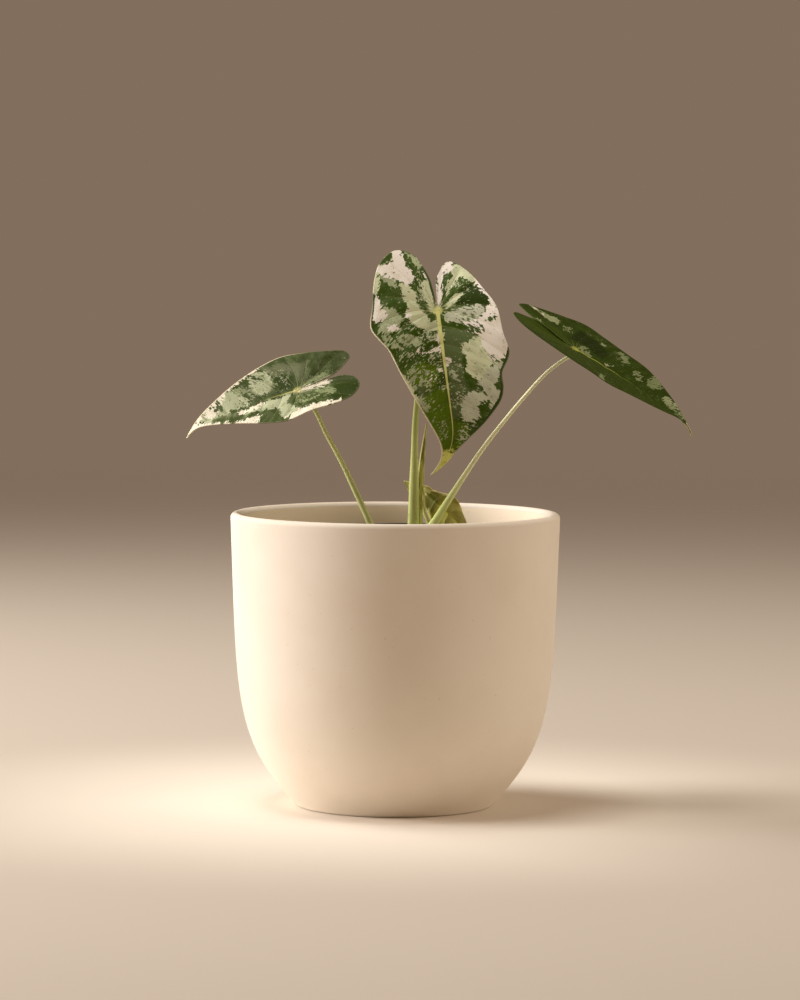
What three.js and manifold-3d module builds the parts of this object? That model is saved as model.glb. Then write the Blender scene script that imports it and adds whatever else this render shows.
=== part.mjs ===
// A young variegated frydek alocasia in its plastic growing pot, stood in a cream ceramic pot.
// Millimetres, +Z up. The origin is the centre of the ceramic pot's flat underside.
// Seen from -Y, the plant's middle leaf faces forward and the two others reach left and right.

import * as THREE from 'three';
import { mergeVertices } from 'three/addons/utils/BufferGeometryUtils.js';
import Module from 'manifold-3d';

// Driving dimensions

const TOUCH_GAP = 0.3;

// Handles are the inner control points of the wall's curves, as radius and height.
const CERAMIC = {
  height: 152,
  rimRadius: 85.3,
  wall: 5.2,
  floor: 7,
  floorRadius: 47.5,
  footRadius: 49.5,
  footRise: 1.5,
  footFlare: 2.55,
  outerHandles: [[84, 35], [81.8, 57]],
  innerHandles: [[76.6, 60], [78.5, 38]],
};

// The growing pot stands a little to the right, so that its far rim shows inside the lip.
const NURSERY = {
  offset: 6.5,
  height: 134.5,
  baseRadius: 40,
  neckRadius: 62.4,
  rimRadius: 64.6,
  mouthRadius: 61.8,
  rimBand: 8,
  rimRound: 0.5,
  wall: 1.2,
  footWidth: 2.4,
  footHeight: 2.5,
  floor: 2,
  drainRadius: 4,
  drainRing: 26,
  drainCount: 6,
};
const NURSERY_TAPER = (NURSERY.neckRadius - NURSERY.baseRadius) / (NURSERY.height - NURSERY.rimBand);

const MIX = {
  surface: 123,
  dome: 2.5,
  edgeRound: 0.4,
};

// Roots leave the corm below its crown, arch out to their reach and hang down by their drop.
const CORM = {
  x: 6,
  y: 2,
  crownZ: 110,
  crownRadius: 13,
  bellyRadius: 15,
  tailZ: 84,
  tailRadius: 1.5,
  roots: 7,
  rootRadius: 1.6,
  rootReach: [30, 6],
  rootDrop: [34, 9],
};

const BLADE_THICKNESS = 0.7;
const CREASE_WIDTH = 2;
const MARGIN_POWER = 2.5;

// Each leaf stands at its junction with its stalk. Heading, dip and roll turn it, in degrees:
// the midrib runs along the heading, tipped down by the dip, and the blade is rolled about it.
// bend is the arch along the midrib in radians a millimetre, fold the slope of the two halves,
// and the drip tip leaves the midrib past hookFrom by hookAside and hookDown millimetres.
// The outline runs from the notch, round the half at +v, to the tip and back round the other half.
// Its points are the place along the midrib, across it, and the margin's lift off the folded blade.

const LEAF_LEFT = {
  junction: [-50.7, -3, 215],
  heading: -177.8,
  dip: 16.8,
  roll: -36.1,
  bend: 0.002,
  fold: 0.17,
  length: 63,
  hookFrom: 46,
  hookAside: 0,
  hookDown: 5.5,
  outline: [
    [-4, -0.45, 0], [-20, -2.2, 0], [-24.5, -2.3, 0], [-29.9, -0.2, -0.6], [-31.7, 8, -1.2],
    [-25.7, 18.9, -0.5], [-16.7, 22.7, 0], [-4.3, 23.7, 0.5], [9.4, 25.5, -0.5], [18.7, 21.5, -0.8],
    [35.8, 11.6, 0], [50.7, 4, 0.6], [58, 0.9, 0.3], [63, 0, 0],
    [58.5, -1.6, 0.3], [45.8, -9, 0.6], [30.3, -18, 0], [14.6, -24.8, -1], [3, -27, -1.2],
    [-9.2, -23.4, 0.5], [-21.1, -20.2, 0.8], [-29.1, -18.6, -0.5], [-31, -14.9, -1],
    [-27.2, -9.8, -0.5], [-20.6, -4.7, 0], [-4, -0.8, 0],
  ],
};

const LEAF_CENTRE = {
  junction: [21.3, -10, 256.4],
  heading: -73,
  dip: 64.8,
  roll: 18.6,
  bend: 0.0083,
  fold: 0.2,
  length: 84,
  hookFrom: 54,
  hookAside: -13.5,
  hookDown: 0,
  outline: [
    [-4, 0.2, 0], [-18.5, 1.5, 0], [-22.2, 3.5, 0], [-27.3, 7, -0.5], [-27.6, 10.4, -1],
    [-19.2, 18.2, -1], [-6.8, 25, 0], [4, 30.2, 0.5], [17.2, 31.7, -0.5], [26.8, 33.6, -2.5],
    [30.6, 32.3, -2.5], [36.7, 28.6, -0.5], [39.8, 28.2, -0.8], [43.7, 28.3, -2], [49.9, 26.4, -2],
    [58.5, 18.7, -0.6], [68.5, 7.4, 0.5], [73.7, 2.6, 0.3], [80.8, 1.6, 0], [84, 0, 0],
    [80, -0.9, 0], [72.1, -3.9, 0], [60.5, -10.3, 0.8], [43.4, -17.9, 1.2], [30, -23.5, 0.8],
    [18.7, -27.7, 0], [13.8, -31.2, -0.5], [6.4, -35.2, -2], [-5.7, -33, -2.5],
    [-18.8, -30.6, -1.5], [-28.4, -27, 0], [-35.1, -21.3, 0.5], [-38.4, -15.6, -0.5],
    [-35.2, -8.4, -1], [-29.9, -5.6, -0.5], [-19.3, -1.8, 0], [-4, -0.2, 0],
  ],
};

const LEAF_RIGHT = {
  junction: [92.8, 6, 236.6],
  heading: -8.6,
  dip: 30,
  roll: 14.3,
  bend: 0.0014,
  fold: 0.19,
  length: 76,
  hookFrom: 60,
  hookAside: 0,
  hookDown: 5,
  outline: [
    [-4, 0.4, 0.3], [-24.6, 2.5, 3], [-28.9, 3.2, 3], [-33.7, 5.1, 3], [-37.6, 8.2, 2.5],
    [-37.6, 11.5, 1.5], [-35, 16.5, 0.3], [-30.9, 21.3, -1.3], [-16.2, 26.5, -1.2],
    [-3.7, 29.1, -0.6], [8.1, 29.4, -1.6], [22.1, 24.7, -0.1], [36.8, 19.5, 1.7],
    [53.7, 10.3, 1.6], [66, 2.6, 0.8], [70.5, 0.5, 0.2], [76, 0, 0],
    [70.5, -0.5, 0.2], [66, -2.6, 0.4], [53.7, -10.3, -0.7], [36.8, -19.5, -1.6],
    [26, -23.4, -2.3], [14.7, -27.2, -1.3], [2.9, -30.2, -0.5], [-9.6, -27.6, 0],
    [-23.6, -24.7, 1.2], [-30.9, -21.3, 2.4], [-35.5, -15, 3.4], [-35, -8.5, 3.6],
    [-31.9, -4, 3.4], [-28, 0.2, 3], [-24.6, 1.1, 3], [-4, 0.15, 0.3],
  ],
};

const SMALL_LEAF = {
  junction: [15, 13, 163.1],
  heading: 6,
  dip: 43,
  roll: -72,
  bend: 0.008,
  fold: 0.25,
  length: 35,
  hookFrom: 24,
  hookAside: 0,
  hookDown: 3,
  outline: [
    [-1.6, -0.3, 0], [-3.6, 0.5, 0], [-6.8, 2.2, 0.5], [-10.7, 4, -0.5], [-7.4, 6, 0.5],
    [-3.8, 7, 0], [1.3, 6, 1], [5.4, 6.2, -1], [9.9, 8.2, 1], [15.7, 10.1, -0.8],
    [25, 10, 0.6], [32, 4.5, 0], [35, 0, 0],
    [29.4, -2.9, 0], [23.8, -5.3, -0.8], [19.2, -6.9, 0.8], [15.1, -8.4, -1.2], [11.1, -6.7, 1],
    [7.6, -4.9, -1], [3.9, -2.9, 1], [0.4, -2.9, -0.8], [-1.5, -1.5, 0],
  ],
};

// Stalks: points from the corm's crown up to the blade, and radii at even steps along the length.

const STALK_LEFT = {
  points: [
    [-2.5, 0, 110.3], [-2.6, -0.5, 120], [-5.2, -1.2, 129], [-12.9, -2, 146.1], [-19.7, -2, 161.1],
    [-28.7, -2, 179.8], [-36.3, -1.5, 193.4], [-42.1, -1, 205.1],
  ],
  radii: [2.6, 2.3, 2, 1.6, 1.5, 1.3, 1.15, 1.05, 1],
  wing: { toward: [1, -0.3, 0], height: 1.4, reach: 0.22 },
};

const STALK_CENTRE = {
  points: [
    [7.6, 3, 110.3], [8.3, 2, 120], [8.9, 1.2, 130], [9.3, 1, 146], [9.7, 1.3, 172],
    [10.1, 2, 197], [10.9, 2, 208], [13.2, 0.6, 233], [17.2, -3.4, 249],
  ],
  radii: [3.8, 3.3, 2.9, 2.5, 1.8, 1.55, 1.4, 1.3, 1.2],
  wing: { toward: [1, -0.6, 0], height: 1.1, reach: 0.3 },
};

const STALK_RIGHT = {
  points: [
    [7.6, -6.2, 110.3], [8.1, -6.2, 119], [11.8, -5.4, 131], [20, -4.4, 146.5], [31.1, -3, 164.4],
    [44.1, -1.8, 184], [53.5, -0.6, 196.4], [67.2, 1.5, 213], [78.2, 3, 224.8], [87.4, 5.5, 231.6],
  ],
  radii: [3, 2.8, 2.4, 2.1, 1.75, 1.5, 1.35, 1.25, 1.15, 1.05],
  wing: { toward: [-1, -0.2, 0.5], height: 2.6, reach: 0.27 },
};

const STALK_SMALL = {
  points: [
    [13.5, 9.6, 110.3], [14.5, 9.8, 120], [17.6, 9.5, 131], [18.4, 9.5, 141], [17.2, 9.5, 146.5],
    [15.4, 9.8, 151.1], [14.4, 10, 155.8], [14.2, 10.5, 159.4],
  ],
  radii: [1.6, 1.4, 1.2, 1, 0.9],
};

const NEW_LEAF = {
  points: [
    [13.6, 4.8, 110.3], [13, 5.2, 121], [12.5, 5.1, 146.2], [12.8, 4.8, 160], [13.5, 4.4, 176.4],
    [15.2, 3.4, 192], [15.9, 3, 197.9],
  ],
  radii: [1.5, 1.4, 1.35, 1.3, 1.05, 0.7, 0.35],
  seamStep: 0.3,
};

// Resolution

const POT_SEGMENTS = 64;
const WALL_STEPS = 10;
const LIP_STEPS = 6;
const OUTLINE_STEPS = 2;
const BLADE_RINGS = 6;
const STALK_SIDES = 10;
const STALK_STEPS = 22;

// Geometry helpers

const UP = new THREE.Vector3(0, 0, 1);

const wasm = await Module();
wasm.setup();

function toSolid(geometry) {
  const bare = geometry.clone();
  bare.deleteAttribute('normal');
  bare.deleteAttribute('uv');
  const merged = mergeVertices(bare, 1e-4);
  return new wasm.Manifold(new wasm.Mesh({
    numProp: 3,
    vertProperties: new Float32Array(merged.attributes.position.array),
    triVerts: new Uint32Array(merged.index.array),
  }));
}

function fromSolid(solid) {
  const mesh = solid.getMesh();
  const geometry = new THREE.BufferGeometry();
  geometry.setAttribute('position', new THREE.BufferAttribute(mesh.vertProperties, 3));
  geometry.setIndex(new THREE.BufferAttribute(mesh.triVerts, 1));
  geometry.computeVertexNormals();
  return geometry;
}

// A turned shape about Z. The profile holds [radius, height] pairs, starts at the axis below
// and ends at the axis above, with the material on its left.
function turned(profile, segments = POT_SEGMENTS) {
  const points = profile.map(([radius, height]) => new THREE.Vector2(radius, height));
  const geometry = new THREE.LatheGeometry(points, segments);
  geometry.rotateX(Math.PI / 2);
  return geometry;
}

function bezierProfile(start, first, second, end, steps) {
  const curve = new THREE.CubicBezierCurve(
    new THREE.Vector2(...start),
    new THREE.Vector2(...first),
    new THREE.Vector2(...second),
    new THREE.Vector2(...end),
  );
  return curve.getPoints(steps).map((point) => [point.x, point.y]);
}

function arcProfile(centreRadius, centreHeight, radius, fromDegrees, toDegrees, steps) {
  const points = [];
  for (let i = 0; i <= steps; i += 1) {
    const angle = THREE.MathUtils.degToRad(fromDegrees + (toDegrees - fromDegrees) * i / steps);
    points.push([centreRadius + radius * Math.cos(angle), centreHeight + radius * Math.sin(angle)]);
  }
  return points;
}

function valueAlong(values, t) {
  const place = t * (values.length - 1);
  const before = Math.min(Math.floor(place), values.length - 2);
  return THREE.MathUtils.lerp(values[before], values[before + 1], place - before);
}

// A closed tube along a smooth path. radiusAt gives the section's radius for the share of the
// length gone, the angle round the section and the direction that this angle points in.
// squareTo holds the directions that the first and last sections are square to, where they
// stand on something flat.
function sweep(points, radiusAt, { steps = STALK_STEPS, sides = STALK_SIDES, squareTo = [] } = {}) {
  const route = points.map((point) => new THREE.Vector3(...point));
  const curve = new THREE.CatmullRomCurve3(route, false, 'centripetal');
  const frames = curve.computeFrenetFrames(steps, false);
  frames.tangents[0] = squareTo[0] ?? frames.tangents[0];
  frames.tangents[steps] = squareTo[1] ?? frames.tangents[steps];
  const positions = [];
  const indices = [];
  for (let i = 0; i <= steps; i += 1) {
    const t = i / steps;
    const centre = curve.getPointAt(t);
    const tangent = frames.tangents[i];
    const across = frames.normals[i].clone();
    across.addScaledVector(tangent, -tangent.dot(across)).normalize();
    const other = new THREE.Vector3().crossVectors(tangent, across);
    for (let k = 0; k < sides; k += 1) {
      const angle = 2 * Math.PI * k / sides;
      const direction = across.clone().multiplyScalar(Math.cos(angle)).addScaledVector(other, Math.sin(angle));
      const point = centre.clone().addScaledVector(direction, radiusAt(t, angle, direction));
      positions.push(point.x, point.y, point.z);
    }
  }
  for (let i = 0; i < steps; i += 1) {
    for (let k = 0; k < sides; k += 1) {
      const a = i * sides + k;
      const b = i * sides + (k + 1) % sides;
      indices.push(a, b, b + sides, a, b + sides, a + sides);
    }
  }
  const last = steps * sides;
  for (let k = 1; k < sides - 1; k += 1) {
    indices.push(0, k + 1, k, last, last + k, last + k + 1);
  }
  const geometry = new THREE.BufferGeometry();
  geometry.setAttribute('position', new THREE.Float32BufferAttribute(positions, 3));
  geometry.setIndex(indices);
  geometry.computeVertexNormals();
  return geometry;
}

// Pots

// The wall's outer and inner curves swell out of the foot and run up nearly straight to the lip.
function ceramicPotGeometry() {
  const { height, rimRadius, wall, floor, floorRadius, footRadius, footRise, footFlare } = CERAMIC;
  const lipRadius = wall / 2;
  const lipBase = height - lipRadius;
  const outer = bezierProfile(
    [footRadius + footFlare, footRise], ...CERAMIC.outerHandles, [rimRadius, lipBase], WALL_STEPS,
  );
  const lip = arcProfile(rimRadius - lipRadius, lipBase, lipRadius, 0, 180, LIP_STEPS).slice(1, -1);
  const inner = bezierProfile(
    [rimRadius - wall, lipBase], ...CERAMIC.innerHandles, [floorRadius, floor], WALL_STEPS,
  );
  return turned([[0, 0], [footRadius, 0], ...outer, ...lip, ...inner, [0, floor]]);
}

// Tapered side, rolled rim, raised base plate on a foot ring, and drain holes in the plate.
function nurseryPotGeometry() {
  const { height, baseRadius, neckRadius, rimRadius, mouthRadius, rimBand, rimRound, wall } = NURSERY;
  const plateTop = NURSERY.footHeight + NURSERY.floor;
  const footInside = baseRadius - NURSERY.footWidth;
  const body = toSolid(turned([
    [0, NURSERY.footHeight], [footInside, NURSERY.footHeight], [footInside, 0], [baseRadius, 0],
    [neckRadius, height - rimBand], [rimRadius, height - rimBand + 2 * rimRound],
    [rimRadius, height - rimRound], [rimRadius - rimRound, height], [mouthRadius, height],
    [neckRadius - wall, height - rimBand], [baseRadius - wall + NURSERY_TAPER * plateTop, plateTop],
    [0, plateTop],
  ]));
  const drains = [[0, 0]];
  for (let i = 0; i < NURSERY.drainCount; i += 1) {
    const angle = 2 * Math.PI * i / NURSERY.drainCount;
    drains.push([NURSERY.drainRing * Math.cos(angle), NURSERY.drainRing * Math.sin(angle)]);
  }
  let drained = body;
  for (const [x, y] of drains) {
    const drill = new THREE.CylinderGeometry(NURSERY.drainRadius, NURSERY.drainRadius, 20, 12);
    drill.rotateX(Math.PI / 2);
    drill.translate(x, y, plateTop);
    drained = drained.subtract(toSolid(drill));
  }
  return fromSolid(drained);
}

// Corm with a flat crown that the stalks stand on, and roots that spread out of its sides.
// extra swells the whole shape, for the space that it fills in the mix.
function cormSolid(extra = 0) {
  const { crownZ, crownRadius, bellyRadius, tailZ, tailRadius, roots, rootRadius } = CORM;
  const belly = bezierProfile(
    [tailRadius + extra, tailZ - extra], [bellyRadius + extra, tailZ + 2],
    [bellyRadius + 2 + extra, crownZ - 8], [crownRadius + extra, crownZ + extra], 7,
  );
  const body = turned([[0, tailZ - extra], ...belly, [0, crownZ + extra]], 20);
  let solid = toSolid(body);
  for (let i = 0; i < roots; i += 1) {
    const angle = 2 * Math.PI * i / roots + 0.3;
    const reach = CORM.rootReach[0] + CORM.rootReach[1] * Math.sin(2.4 * i);
    const drop = CORM.rootDrop[0] + CORM.rootDrop[1] * Math.cos(1.7 * i);
    const out = [Math.cos(angle), Math.sin(angle)];
    const path = [
      [6 * out[0], 6 * out[1], crownZ - 12], [14 * out[0], 14 * out[1], crownZ - 15],
      [(reach - 6) * out[0], (reach - 6) * out[1], crownZ - 24],
      [reach * out[0], reach * out[1], crownZ - 24 - drop],
    ];
    solid = solid.add(toSolid(sweep(path, (t) => rootRadius * (1 - 0.5 * t) + extra, { steps: 7, sides: 6 })));
  }
  return solid.translate([CORM.x, CORM.y, 0]);
}

// The mix fills the growing pot up to a low mound and is pierced by the stalks and the corm.
function pottingMixGeometry(stalks) {
  const { baseRadius, wall, footHeight, floor, offset } = NURSERY;
  const standZ = CERAMIC.floor + TOUCH_GAP;
  const bottom = standZ + footHeight + floor + TOUCH_GAP;
  const insideAt = (z) => baseRadius - wall - TOUCH_GAP + NURSERY_TAPER * (z - standZ);
  const { surface, dome, edgeRound } = MIX;
  const mound = [0.97, 0.8, 0.55, 0.3].map((share) => [
    share * insideAt(surface), surface + dome * Math.cos(share * Math.PI / 2),
  ]);
  const body = turned([
    [0, bottom], [insideAt(bottom) - edgeRound, bottom],
    [insideAt(surface) - edgeRound, surface - edgeRound], ...mound, [0, surface + dome],
  ], 40);
  body.translate(offset, 0, 0);
  let solid = toSolid(body).subtract(cormSolid(TOUCH_GAP));
  for (const stalk of stalks) {
    solid = solid.subtract(toSolid(stalk));
  }
  return fromSolid(solid);
}

// Leaves

function leafTurn(leaf) {
  const degrees = THREE.MathUtils.degToRad;
  return new THREE.Euler(degrees(leaf.roll), degrees(leaf.dip), degrees(leaf.heading), 'ZYX');
}

function junctionPoint(leaf) {
  return new THREE.Vector3(...leaf.junction);
}

// The mid surface in the leaf's own frame, X along the midrib, Y across, Z out of the upper face.
function bladePoint(leaf, along, across, lift) {
  const turn = along * leaf.bend;
  const past = Math.max(0, (along - leaf.hookFrom) / (leaf.length - leaf.hookFrom)) ** 3;
  const folded = leaf.fold * (Math.hypot(across, CREASE_WIDTH) - CREASE_WIDTH);
  const height = folded + lift - leaf.hookDown * past;
  return new THREE.Vector3(
    Math.sin(turn) / leaf.bend + height * Math.sin(turn),
    across + leaf.hookAside * past,
    height * Math.cos(turn) - (1 - Math.cos(turn)) / leaf.bend,
  );
}

// Spokes run from the junction to the margin. Both faces share the same split into triangles.
function bladeGeometry(leaf) {
  const margin = new THREE.CatmullRomCurve3(
    leaf.outline.map((point) => new THREE.Vector3(...point)), false, 'centripetal',
  );
  const spokes = (leaf.outline.length - 1) * OUTLINE_STEPS + 1;
  const middle = [bladePoint(leaf, 0, 0, 0)];
  for (let ring = 1; ring <= BLADE_RINGS; ring += 1) {
    const share = (ring / BLADE_RINGS) ** 0.8;
    for (let k = 0; k < spokes; k += 1) {
      const edge = margin.getPoint(k / (spokes - 1));
      middle.push(bladePoint(leaf, edge.x * share, edge.y * share, edge.z * share ** MARGIN_POWER));
    }
  }
  const upper = [];
  for (let k = 0; k < spokes; k += 1) {
    const next = (k + 1) % spokes;
    upper.push([0, 1 + next, 1 + k]);
    for (let ring = 0; ring < BLADE_RINGS - 1; ring += 1) {
      const a = 1 + ring * spokes + k;
      const b = 1 + ring * spokes + next;
      upper.push([a, b, b + spokes], [a, b + spokes, a + spokes]);
    }
  }
  const sheet = new THREE.BufferGeometry().setFromPoints(middle);
  sheet.setIndex(upper.flat());
  sheet.computeVertexNormals();
  const normals = sheet.attributes.normal;
  const positions = [];
  for (const side of [0.5, -0.5]) {
    middle.forEach((point, i) => {
      const normal = new THREE.Vector3().fromBufferAttribute(normals, i);
      const moved = point.clone().addScaledVector(normal, side * BLADE_THICKNESS);
      positions.push(moved.x, moved.y, moved.z);
    });
  }
  const count = middle.length;
  const indices = upper.flat();
  for (const [a, b, c] of upper) {
    indices.push(a + count, c + count, b + count);
  }
  const rim = 1 + (BLADE_RINGS - 1) * spokes;
  for (let k = 0; k < spokes; k += 1) {
    const a = rim + k;
    const b = rim + (k + 1) % spokes;
    indices.push(a, b, b + count, a, b + count, a + count);
  }
  const geometry = new THREE.BufferGeometry();
  geometry.setAttribute('position', new THREE.Float32BufferAttribute(positions, 3));
  geometry.setIndex(indices);
  geometry.computeVertexNormals();
  return geometry;
}

// Tapered stem with a wing along its foot, where it sheathes the next leaf. Its last stretch
// meets the blade's underside square on.
function stalkGeometry(stalk, leaf, extra = 0) {
  const face = new THREE.Vector3(0, 0, 1).applyEuler(leafTurn(leaf));
  const seat = BLADE_THICKNESS / 2 + TOUCH_GAP;
  const ends = [seat + 3, seat].map((depth) => junctionPoint(leaf).addScaledVector(face, -depth));
  const path = [...stalk.points, ...ends.map((point) => point.toArray())];
  const wing = stalk.wing;
  const toward = wing ? new THREE.Vector3(...wing.toward).normalize() : null;
  const radiusAt = (t, angle, direction) => {
    const stem = valueAlong(stalk.radii, t) + extra;
    if (!wing || t > wing.reach) {
      return stem;
    }
    const grown = wing.height * Math.sin(Math.PI * (1 - t / wing.reach) / 2);
    return stem + grown * Math.max(0, direction.dot(toward)) ** 4;
  };
  return sweep(path, radiusAt, { squareTo: [UP, face] });
}

// A rolled blade: the section's radius grows once round and steps back at the open edge.
function newLeafGeometry(extra = 0) {
  const radiusAt = (t, angle) => (
    valueAlong(NEW_LEAF.radii, t) * (1 + NEW_LEAF.seamStep * (angle / (2 * Math.PI) - 0.5)) + extra
  );
  return sweep(NEW_LEAF.points, radiusAt, { squareTo: [UP] });
}

// Materials

function finish(colour, roughness) {
  return new THREE.MeshStandardMaterial({ color: colour, roughness, metalness: 0 });
}

const FINISH = {
  ceramic: finish(0xeadcc4, 0.62),
  plastic: finish(0x2b2927, 0.5),
  mix: finish(0x4a3a2c, 0.95),
  corm: finish(0x9a7a52, 0.85),
  stalk: finish(0x9fa65c, 0.5),
  paleStalk: finish(0xd2cc95, 0.5),
  newLeaf: finish(0x6f6f2c, 0.5),
  blade: finish(0x4d6a2c, 0.45),
  smallBlade: finish(0x6a6f24, 0.5),
};

// Assembly

const plant = new THREE.Group();

function addPiece(name, geometry, material) {
  const mesh = new THREE.Mesh(geometry, material);
  mesh.name = name;
  plant.add(mesh);
  return mesh;
}

function addBlade(name, leaf, material) {
  const mesh = addPiece(name, bladeGeometry(leaf), material);
  mesh.position.copy(junctionPoint(leaf));
  mesh.rotation.copy(leafTurn(leaf));
}

const GROWING_STALKS = [
  ['petiole_left', STALK_LEFT, LEAF_LEFT, FINISH.stalk],
  ['petiole_centre', STALK_CENTRE, LEAF_CENTRE, FINISH.stalk],
  ['petiole_right', STALK_RIGHT, LEAF_RIGHT, FINISH.paleStalk],
  ['petiole_small', STALK_SMALL, SMALL_LEAF, FINISH.stalk],
];

addPiece('ceramic_pot', ceramicPotGeometry(), FINISH.ceramic);
const nursery = addPiece('nursery_pot', nurseryPotGeometry(), FINISH.plastic);
nursery.position.set(NURSERY.offset, 0, CERAMIC.floor + TOUCH_GAP);

const holes = GROWING_STALKS.map(([, stalk, leaf]) => stalkGeometry(stalk, leaf, TOUCH_GAP));
holes.push(newLeafGeometry(TOUCH_GAP));
addPiece('potting_mix', pottingMixGeometry(holes), FINISH.mix);
addPiece('corm_roots', fromSolid(cormSolid()), FINISH.corm);

for (const [name, stalk, leaf, material] of GROWING_STALKS) {
  addPiece(name, stalkGeometry(stalk, leaf), material);
}
addPiece('new_leaf', newLeafGeometry(), FINISH.newLeaf);

addBlade('blade_left', LEAF_LEFT, FINISH.blade);
addBlade('blade_centre', LEAF_CENTRE, FINISH.blade);
addBlade('blade_right', LEAF_RIGHT, FINISH.blade);
addBlade('small_leaf', SMALL_LEAF, FINISH.smallBlade);

export default plant;
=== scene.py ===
"""A young variegated frydek alocasia in its plastic growing pot, stood in a cream ceramic pot.

Sizes are in millimetres until a mesh is made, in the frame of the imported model: +Z up, the
origin under the middle of the ceramic pot, and the middle leaf facing -Y. Colours are tones as
seen on a screen, 0 to 255, until a shader takes them.
"""
import math

import bmesh
import bpy
import numpy as np
from mathutils import Euler, Matrix, Vector


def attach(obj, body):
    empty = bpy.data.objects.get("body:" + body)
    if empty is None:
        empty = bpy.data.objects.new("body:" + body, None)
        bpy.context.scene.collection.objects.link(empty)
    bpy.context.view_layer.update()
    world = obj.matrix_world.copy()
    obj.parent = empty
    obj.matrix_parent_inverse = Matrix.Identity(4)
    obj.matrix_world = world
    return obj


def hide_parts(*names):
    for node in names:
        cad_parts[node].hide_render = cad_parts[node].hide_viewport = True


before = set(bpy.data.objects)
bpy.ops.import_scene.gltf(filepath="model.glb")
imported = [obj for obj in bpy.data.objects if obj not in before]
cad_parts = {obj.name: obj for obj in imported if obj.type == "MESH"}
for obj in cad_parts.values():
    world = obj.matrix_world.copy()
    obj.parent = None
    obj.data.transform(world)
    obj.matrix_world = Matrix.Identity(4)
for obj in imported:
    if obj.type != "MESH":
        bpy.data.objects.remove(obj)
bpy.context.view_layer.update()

MM = 0.001
SEED = 6100


# Sizes of the pots and the mix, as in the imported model

CERAMIC = {
    "height": 152.0, "rim": 85.3, "wall": 5.2, "floor": 7.0, "inside": 47.5, "base": 49.5,
    "foot_rise": 1.5, "foot_flare": 2.55,
    "outer_handles": ((84.0, 35.0), (81.8, 57.0)), "inner_handles": ((76.6, 60.0), (78.5, 38.0)),
}
MIX_X = 6.5
MIX_RADIUS = 59.0
MIX_SURFACE = 123.0
MIX_DOME = 2.5

# Leaves. turn has the heading, dip and roll about the junction with the stalk, in degrees. bend
# is the arch along the midrib in radians a millimetre, fold the slope of the two halves and swell
# the rise between the side veins. hook says from where on the drip tip leaves the midrib, and how
# far aside and down it goes. The outline runs from the notch round one half to the tip and back.
# Its points are places along and across the midrib, and the margin's lift off the folded blade.
# The stalk's path goes from the crown of the corm up to the blade, with radii at even steps along
# it. The sheathing wing at its foot has the way it grows, its height and its share of the path.

LEFT = {
    "junction": (-50.7, -3.0, 215.0), "turn": (-177.8, 16.8, -36.1), "length": 63.0,
    "bend": 0.002, "fold": 0.17, "swell": 0.4, "hook": (46.0, 0.0, 5.5),
    "radii": (2.6, 2.3, 2, 1.6, 1.5, 1.3, 1.15, 1.05, 1), "wing": ((1, -0.3, 0), 1.4, 0.22),
    "path": (
        -2.5,0,110.3, -2.6,-0.5,120, -5.2,-1.2,129, -12.9,-2,146.1, -19.7,-2,161.1, -28.7,-2,179.8,
        -36.3,-1.5,193.4, -42.1,-1,205.1,
    ),
    "outline": (
        -4,-0.45,0, -20,-2.2,0, -24.5,-2.3,0, -29.9,-0.2,-0.6, -31.7,8,-1.2, -25.7,18.9,-0.5,
        -16.7,22.7,0, -4.3,23.7,0.5, 9.4,25.5,-0.5, 18.7,21.5,-0.8, 35.8,11.6,0, 50.7,4,0.6,
        58,0.9,0.3, 63,0,0, 58.5,-1.6,0.3, 45.8,-9,0.6, 30.3,-18,0, 14.6,-24.8,-1, 3,-27,-1.2,
        -9.2,-23.4,0.5, -21.1,-20.2,0.8, -29.1,-18.6,-0.5, -31,-14.9,-1, -27.2,-9.8,-0.5,
        -20.6,-4.7,0, -4,-0.8,0,
    ),
}
CENTRE = {
    "junction": (21.3, -10.0, 256.4), "turn": (-73.0, 64.8, 18.6), "length": 84.0,
    "bend": 0.0083, "fold": 0.2, "swell": 0.5, "hook": (54.0, -13.5, 0.0),
    "radii": (3.8, 3.3, 2.9, 2.5, 1.8, 1.55, 1.4, 1.3, 1.2), "wing": ((1, -0.6, 0), 1.1, 0.3),
    "path": (
        7.6,3,110.3, 8.3,2,120, 8.9,1.2,130, 9.3,1,146, 9.7,1.3,172, 10.1,2,197, 10.9,2,208,
        13.2,0.6,233, 17.2,-3.4,249,
    ),
    "outline": (
        -4,0.2,0, -18.5,1.5,0, -22.2,3.5,0, -27.3,7,-0.5, -27.6,10.4,-1, -19.2,18.2,-1, -6.8,25,0,
        4,30.2,0.5, 17.2,31.7,-0.5, 26.8,33.6,-2.5, 30.6,32.3,-2.5, 36.7,28.6,-0.5, 39.8,28.2,-0.8,
        43.7,28.3,-2, 49.9,26.4,-2, 58.5,18.7,-0.6, 68.5,7.6,0.5, 73.3,3.8,0.3, 80.8,1.9,0, 85,0,0,
        81,-1.4,0, 73.4,-3.9,0, 60.5,-10.3,0.8, 43.4,-17.9,1.2, 30,-23.5,0.8, 18.7,-27.7,0,
        13.8,-31.2,-0.5, 6.4,-35.2,-2, -5.7,-33,-2.5, -18.8,-30.6,-1.5, -28.4,-27,0,
        -35.1,-21.3,0.5, -38.4,-15.6,-0.5, -35.2,-8.4,-1, -29.9,-5.6,-0.5, -19.3,-1.8,0, -4,-0.2,0,
    ),
}
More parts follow.
